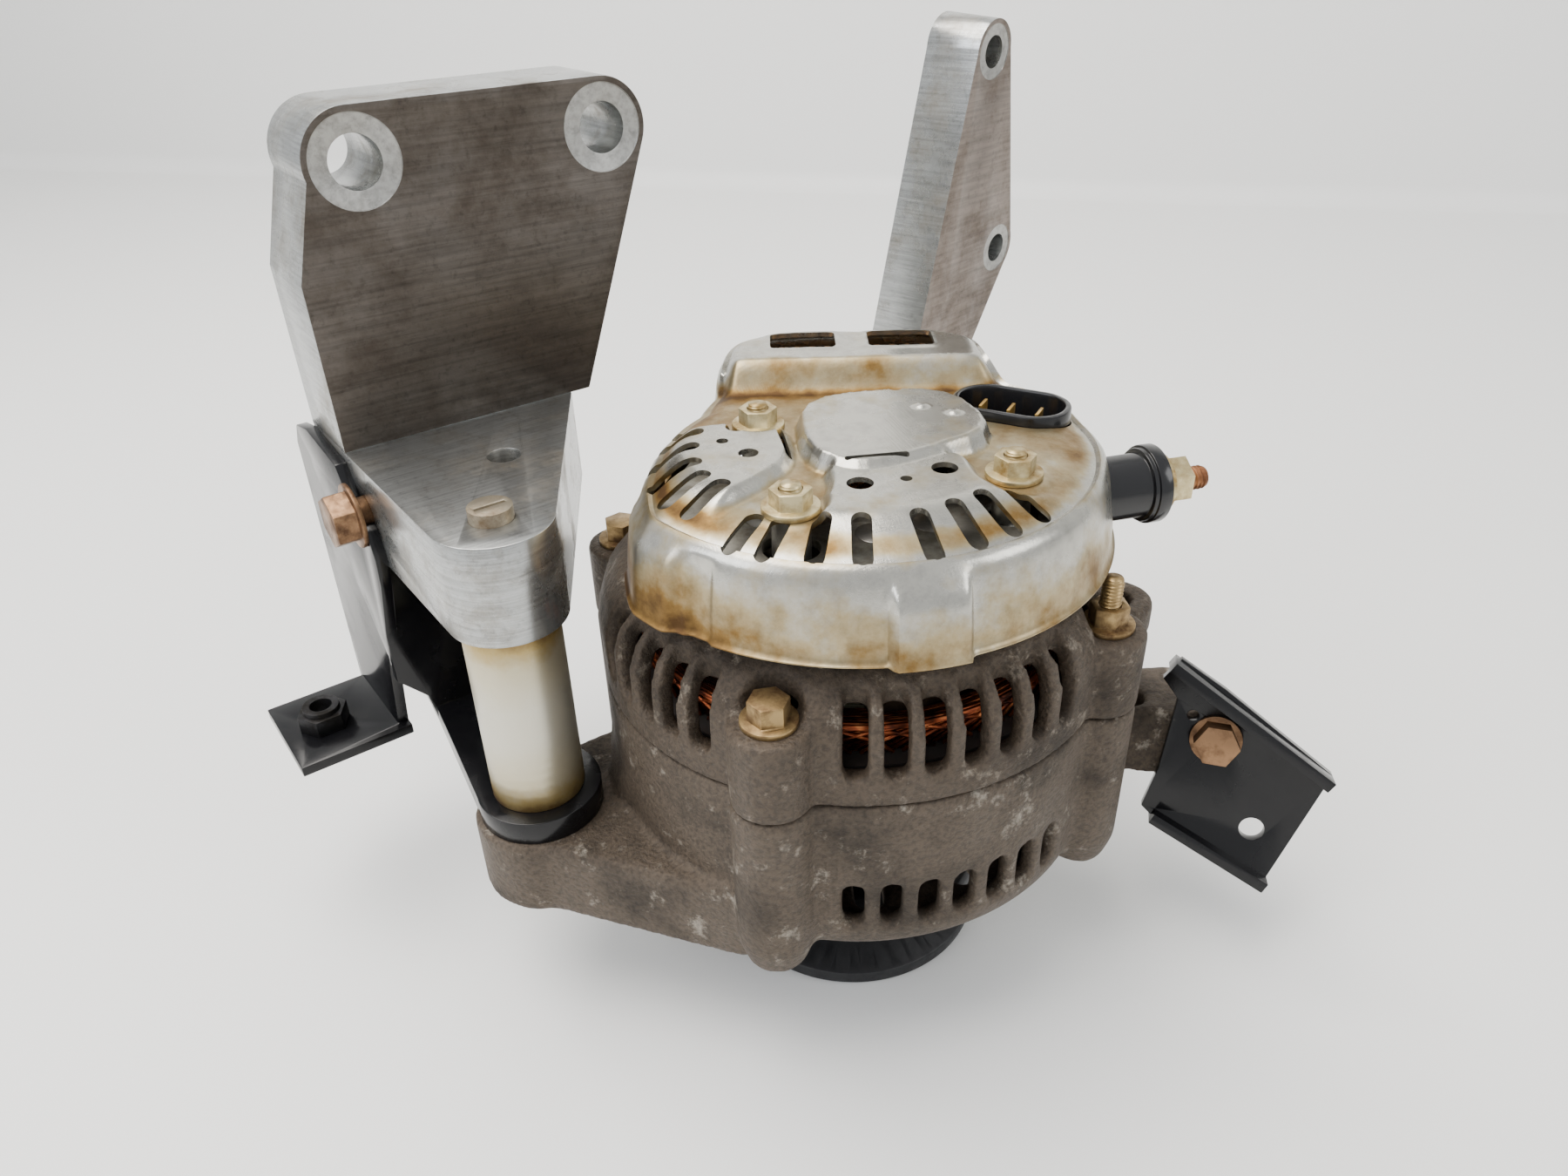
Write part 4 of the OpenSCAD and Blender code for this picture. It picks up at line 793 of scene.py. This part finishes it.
holes = mesh_piece("cutter", *joined([([to_part @ Vector(v) for v in verts], faces)
                                      for verts, faces in cutters]), satin_cover, False)
bush_low, bush_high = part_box("battery_bush")
term_turn = math.radians(-3)
term_axis = Vector((math.cos(term_turn), math.sin(term_turn), 0))
term_seat = Vector(((bush_low.x + bush_high.x) / 2, (bush_low.y + bush_high.y) / 2,
                    (bush_low.z + bush_high.z) / 2))
across = Matrix.Translation(term_seat) @ term_axis.to_track_quat("Z", "Y").to_matrix().to_4x4()
round_hole = mesh_piece("terminal_cutter", *prism(ngon(0.0078, 40), -0.014, 0.03), satin_cover,
                        False)
moved(round_hole, across)
for tool in (holes, round_hole):
    cut = cover.modifiers.new("holes", "BOOLEAN")
    cut.object = tool
    cut.operation = "DIFFERENCE"
    cut.solver = "MANIFOLD"
baked(cover)
for tool in (holes, round_hole):
    bpy.data.objects.remove(tool)
cover.data.shade_smooth()
cover.data.set_sharp_from_angle(angle=math.radians(48))
cover.data.materials.clear()
cover.data.materials.append(satin_cover)
# The stain lies in the top's hollows, along the wall's foot, at the left and before the ridge.
places = np.empty(len(cover.data.vertices) * 3)
cover.data.vertices.foreach_get("co", places)
places = places.reshape(-1, 3) * 1000
spin = -cover_turn
local_x = places[:, 0] * math.cos(spin) - places[:, 1] * math.sin(spin)
local_y = places[:, 0] * math.sin(spin) + places[:, 1] * math.cos(spin)
hollow = 1 - smooth(places[:, 2], 146.6, 148.8)
on_top = smooth(places[:, 2], 144.8, 146.2)
foot = 1 - smooth(places[:, 2], 126, 144)
left_side = smooth(-local_x, 18, 52)
ridge_foot = smooth(local_y, 22, 27) * (1 - smooth(local_y, 31, 35))
stained = np.clip(0.34 * hollow * on_top + 0.46 * foot * (0.6 + 0.5 * left_side)
                  + 0.26 * ridge_foot * on_top + 0.12 * left_side, 0, 0.56)
mark = cover.data.attributes.new("stain", "FLOAT", "POINT")
mark.data.foreach_set("value", stained.astype(np.float32))
settle(cover, "rear_cover", "housing")

# Cover fixings: three M5 studs and flanged nuts that clamp the cover to the rear frame.
# They are zinc plated, brighter than the through bolts; plain sleeves hold the cover off the frame.
bright_zinc = metal("zinc_plated_steel_bright", "#cdbf95", "#8d7447", 0.3)
sharp_copy("cover_nut_set", "cover_nuts", bright_zinc, 0.35, "housing")
low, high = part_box("cover_studs")
cover_stud_r, cover_stud_pitch, sleeve_r, sleeve_ends = 0.0025, 0.0008, 0.0042, (122.5, 146.1)
sleeves = []
for number, (x, y) in enumerate(seats):
    foot = to_part @ Vector((x, y, low.z * 1000))
    thread("cover_stud_thread_%d" % (number + 1), foot, (0, 0, 1), cover_stud_r,
           high.z - foot.z - 0.0002, cover_stud_pitch, bright_zinc, "housing")
    sleeves.append(tube([to_part @ Vector((x, y, z)) for z in sleeve_ends], sleeve_r, 32))
spacers = mesh_piece("cover_stud_sleeves", *joined(sleeves), turned_steel)
spacers.data.set_sharp_from_angle(angle=math.radians(40))
settle(spacers, "cover_studs", "housing")

# Plug socket: glossy black nylon with a hollow oval mouth and three brass blades inside.
# It stands on the regulator and comes through the cover's oval opening.
gloss_nylon = surface("nylon_gloss_black", "#0e0e10", 0, 0.2)[0]
sharp_copy("plug_socket", "plug_shroud", gloss_nylon, 0.5, "housing")
sharp_copy("plug_blade_set", "plug_blades", cage_brass, 0.15, "housing")

# Output terminal: a copper plated stud in a black insulating bush, with a flanged nut.
# The stud carries the charging current to the battery cable.
stud_copper = metal("copper_plated_thread_oxidised", "#96694a", "#5d3c28", 0.35)
sharp_copy("terminal_bush", "battery_bush", gloss_nylon, 0.5, "housing")
sharp_copy("terminal_nut", "battery_nut", bright_zinc, 0.4, "housing")
stud_end = (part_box("battery_stud")[1].x - term_seat.x) / term_axis.x
inner_end, term_stud_r, term_pitch, head_r = 0.0165, 0.0029, 0.001, 0.0052
thread("terminal_stud_thread", term_seat - term_axis * inner_end, term_axis, term_stud_r,
       inner_end + stud_end - 0.0004, term_pitch, stud_copper, "housing")
head = mesh_piece("terminal_stud_head", *prism(ngon(head_r, 6), -0.0175, -0.0149), stud_copper,
                  False)
moved(head, across)
broken = head.modifiers.new("broken_edge", "BEVEL")
broken.width = 0.0003
broken.segments = 2
baked(head)
settle(head, "battery_stud", "housing")

# Swinging mount: the pivot bolt runs up a zinc plated tube into a milled aluminium block.
# The tube is cream grey with faint rings, and rust has crept in at both of its ends.
tube_zinc, tree, shader, spot = surface("zinc_plated_tube_rust_ends", "#d3cdb9", 0.75, 0.36)
low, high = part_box("spacer_tube")
height = add(tree, "ShaderNodeSeparateXYZ", {"Vector": spot})
middle, half_length = (low.z + high.z) / 2, (high.z - low.z) / 2
away = add(tree, "ShaderNodeMath", operation="SUBTRACT")
tree.links.new(height.outputs["Z"], away.inputs[0])
away.inputs[1].default_value = middle
size = add(tree, "ShaderNodeMath", {0: away.outputs[0]}, operation="ABSOLUTE")
share = add(tree, "ShaderNodeMath", {0: size.outputs[0]}, operation="DIVIDE")
share.inputs[1].default_value = half_length
cloud = add(tree, "ShaderNodeTexNoise", {"Vector": spot}, Scale=110, Detail=6, Roughness=0.65)
reach = add(tree, "ShaderNodeMath", {0: share.outputs[0]}, operation="MULTIPLY")
reach.inputs[1].default_value = 0.78
mix_in = add(tree, "ShaderNodeMath", {0: cloud.outputs["Fac"]}, operation="MULTIPLY_ADD")
mix_in.inputs[1].default_value = 0.34
tree.links.new(reach.outputs[0], mix_in.inputs[2])
tree.links.new(ramp(tree, mix_in.outputs[0],
                    [(0.3, "#c6c2b2"), (0.7, "#bdb499"), (0.86, "#ab9562"), (0.97, "#6f5130")]),
               shader.inputs["Base Color"])
rings = add(tree, "ShaderNodeTexWave", {"Vector": spot}, wave_type="BANDS", bands_direction="Z",
            Scale=110, Distortion=1.5)
bumped(tree, rings.outputs["Fac"], 0.25, 0.00008, shader.inputs["Normal"])
sharp_copy("spacer_tube_plated", "spacer_tube", tube_zinc, 0.4, "mount_bracket")
aged_steel = metal("zinc_plated_steel_greyed", "#a39a88", "#6d5c47", 0.4)
sharp_copy("pivot_bolt_hexed", "pivot_bolt", aged_steel, 0.4, "mount_bracket")


block_turn = math.radians(19.2)


def milled(name, colour, dark, roughness, stretch_xyz, stain_at=0.30, scratch=0.3):
    """Machined aluminium: tool lines drawn along one way, with stains and specks over them."""
    material, tree, shader, spot = surface(name, colour, 0.88, roughness)
    turned = add(tree, "ShaderNodeMapping", {"Vector": spot})
    turned.inputs["Rotation"].default_value = (0, 0, -block_turn)
    stretch = add(tree, "ShaderNodeMapping", {"Vector": turned.outputs[0]})
    stretch.inputs["Scale"].default_value = stretch_xyz
    lines = add(tree, "ShaderNodeTexNoise", {"Vector": stretch.outputs[0]}, Scale=1, Detail=4,
                Roughness=0.6)
    patches = add(tree, "ShaderNodeTexNoise", {"Vector": spot}, Scale=55, Detail=8, Roughness=0.72)
    fleck = add(tree, "ShaderNodeTexNoise", {"Vector": spot}, Scale=520, Detail=4, Roughness=0.7)
    base = ramp(tree, patches.outputs["Fac"], [(stain_at - 0.04, dark), (stain_at + 0.24, colour)])
    streak = ramp(tree, lines.outputs["Fac"], [(0.3, 0.62), (0.6, 1.0)])
    speck = ramp(tree, fleck.outputs["Fac"], [(0.32, 0.55), (0.46, 1.0)])
    for factor, strength in ((streak, 0.85), (speck, 0.5)):
        base = darkened(tree, base, factor, strength)
    tree.links.new(base, shader.inputs["Base Color"])
    tree.links.new(ramp(tree, patches.outputs["Fac"],
                        [(stain_at, min(roughness + 0.22, 1)), (stain_at + 0.2, roughness)]),
                   shader.inputs["Roughness"])
    bumped(tree, lines.outputs["Fac"], scratch, 0.0001, shader.inputs["Normal"])
    return material


bright_milled = milled("aluminium_milled_brushed", "#aeb0af", "#7d7464", 0.25, (60, 60, 1500))
top_milled = milled("aluminium_milled_top", "#a6a8a7", "#7b7263", 0.28, (50, 1300, 50))
face_milled = milled("aluminium_face_weathered_dark", "#625c56", "#524a42", 0.45, (40, 40, 900),
                     0.36, 0.6)
ring_milled = milled("aluminium_rubbed_by_washer", "#a9a8a4", "#8d8a84", 0.4, (500, 500, 500), 0.25)


def face_by(piece, material, wanted):
    """Gives another finish to the faces that a test picks."""
    piece.data.materials.append(material)
    number = len(piece.data.materials) - 1
    for face in piece.data.polygons:
        if wanted(face.center, face.normal):
            face.material_index = number


block = sharp_copy("pivot_block_milled", "pivot_block", bright_milled, 0.5, "mount_bracket")
face_by(block, top_milled, lambda centre, normal: normal.z > 0.9)

# Mounting plate: milled aluminium 25 mm thick, screwed to the block from below.
# Its front has weathered dark, with pale rings where washers sat about the two bolt holes.
plate = sharp_copy("mounting_plate_milled", "mounting_plate", bright_milled, 0.6, "mount_bracket")
plate_front = Vector((math.sin(block_turn), -math.cos(block_turn), 0))
plate_holes = [Vector(m["pos_m"]) for m in frame["record"]["mounts"]
               if m["name"].startswith("plate_hole")]


def near_hole(centre, holes, along, reach):
    """Whether a place is within reach of a hole's axis."""
    for hole in holes:
        gap = Vector(centre) - hole
        gap -= gap.dot(along) * along
        if gap.length < reach:
            return True
    return False


face_by(plate, face_milled, lambda centre, normal: abs(normal.dot(plate_front)) > 0.95)
face_by(plate, ring_milled, lambda centre, normal: abs(normal.dot(plate_front)) > 0.5
        and near_hole(centre, plate_holes, plate_front, 0.0106))
black_oxide = metal("steel_black_oxide", "#2c2c2e", "#1c1a18", 0.4)
dress(black_oxide, "plate_screws")

# Steady bracket: 3 mm steel sheet, cut, bent and painted gloss black, with a welded nut on its tab.
# It ties the pivot bolt's eye to the block, where one flanged bolt holds it.
gloss_black, tree, shader, spot = surface("steel_painted_gloss_black", "#101012", 0, 0.2,
                                          Specular_IOR_Level=0.3)
chip = add(tree, "ShaderNodeTexNoise", {"Vector": spot}, Scale=95, Detail=8, Roughness=0.75)
tree.links.new(ramp(tree, chip.outputs["Fac"],
                    [(0.66, "#0f0f11"), (0.70, "#4e463d"), (0.76, "#8a8378")]),
               shader.inputs["Base Color"])
haze = add(tree, "ShaderNodeTexNoise", {"Vector": spot}, Scale=60, Detail=5)
tree.links.new(ramp(tree, haze.outputs["Fac"], [(0.4, 0.16), (0.7, 0.36)]),
               shader.inputs["Roughness"])
sharp_copy("steady_bracket_painted", "steady_bracket", gloss_black, 0.8, "mount_bracket")
brown_zinc = metal("zinc_plated_steel_browned", "#8b6c50", "#4f3a2b", 0.36)
sharp_copy("bracket_bolt_hexed", "bracket_bolt", brown_zinc, 0.4, "mount_bracket")
sharp_copy("weld_nut_hexed", "weld_nut", black_oxide, 0.35, "mount_bracket")

# Adjuster bracket: a shallow channel of the same painted sheet, bolted to the lower ear.
# The rear plate stands behind the rear frame on two bolts.
sharp_copy("adjuster_bracket_painted", "adjuster_bracket", gloss_black, 0.7, "housing")
sharp_copy("side_bolts_hexed", "side_bolts", brown_zinc, 0.4, "housing")
rear = sharp_copy("rear_plate_milled", "rear_plate", bright_milled, 0.5, "housing")
rear_holes = [m for m in frame["record"]["mounts"] if m["name"].startswith("rear_plate_hole")]
rear_front = Vector(rear_holes[0]["axis"])
broad_face = milled("aluminium_face_weathered_taupe", "#8a8078", "#6a5e54", 0.4, (40, 40, 900),
                    0.34, 0.4)
face_by(rear, broad_face, lambda centre, normal: abs(normal.dot(rear_front)) > 0.95)
face_by(rear, ring_milled, lambda centre, normal: abs(normal.dot(rear_front)) > 0.5
        and near_hole(centre, [Vector(m["pos_m"]) for m in rear_holes], rear_front, 0.0071))

# Pulley: cast iron with a V groove, turned and painted satin black, held by a washer and a nut.
# The part stands on its front rim.
pulley_iron = metal("cast_iron_painted_satin_black", "#1c1c1e", "#121214", 0.38, 0.1, metallic=0.1)
sharp_copy("pulley_turned", "pulley", pulley_iron, 0.3, "rotor")
dress(yellow_zinc, "pulley_washer")
sharp_copy("pulley_nut_hexed", "pulley_nut", yellow_zinc, 0.5, "rotor")
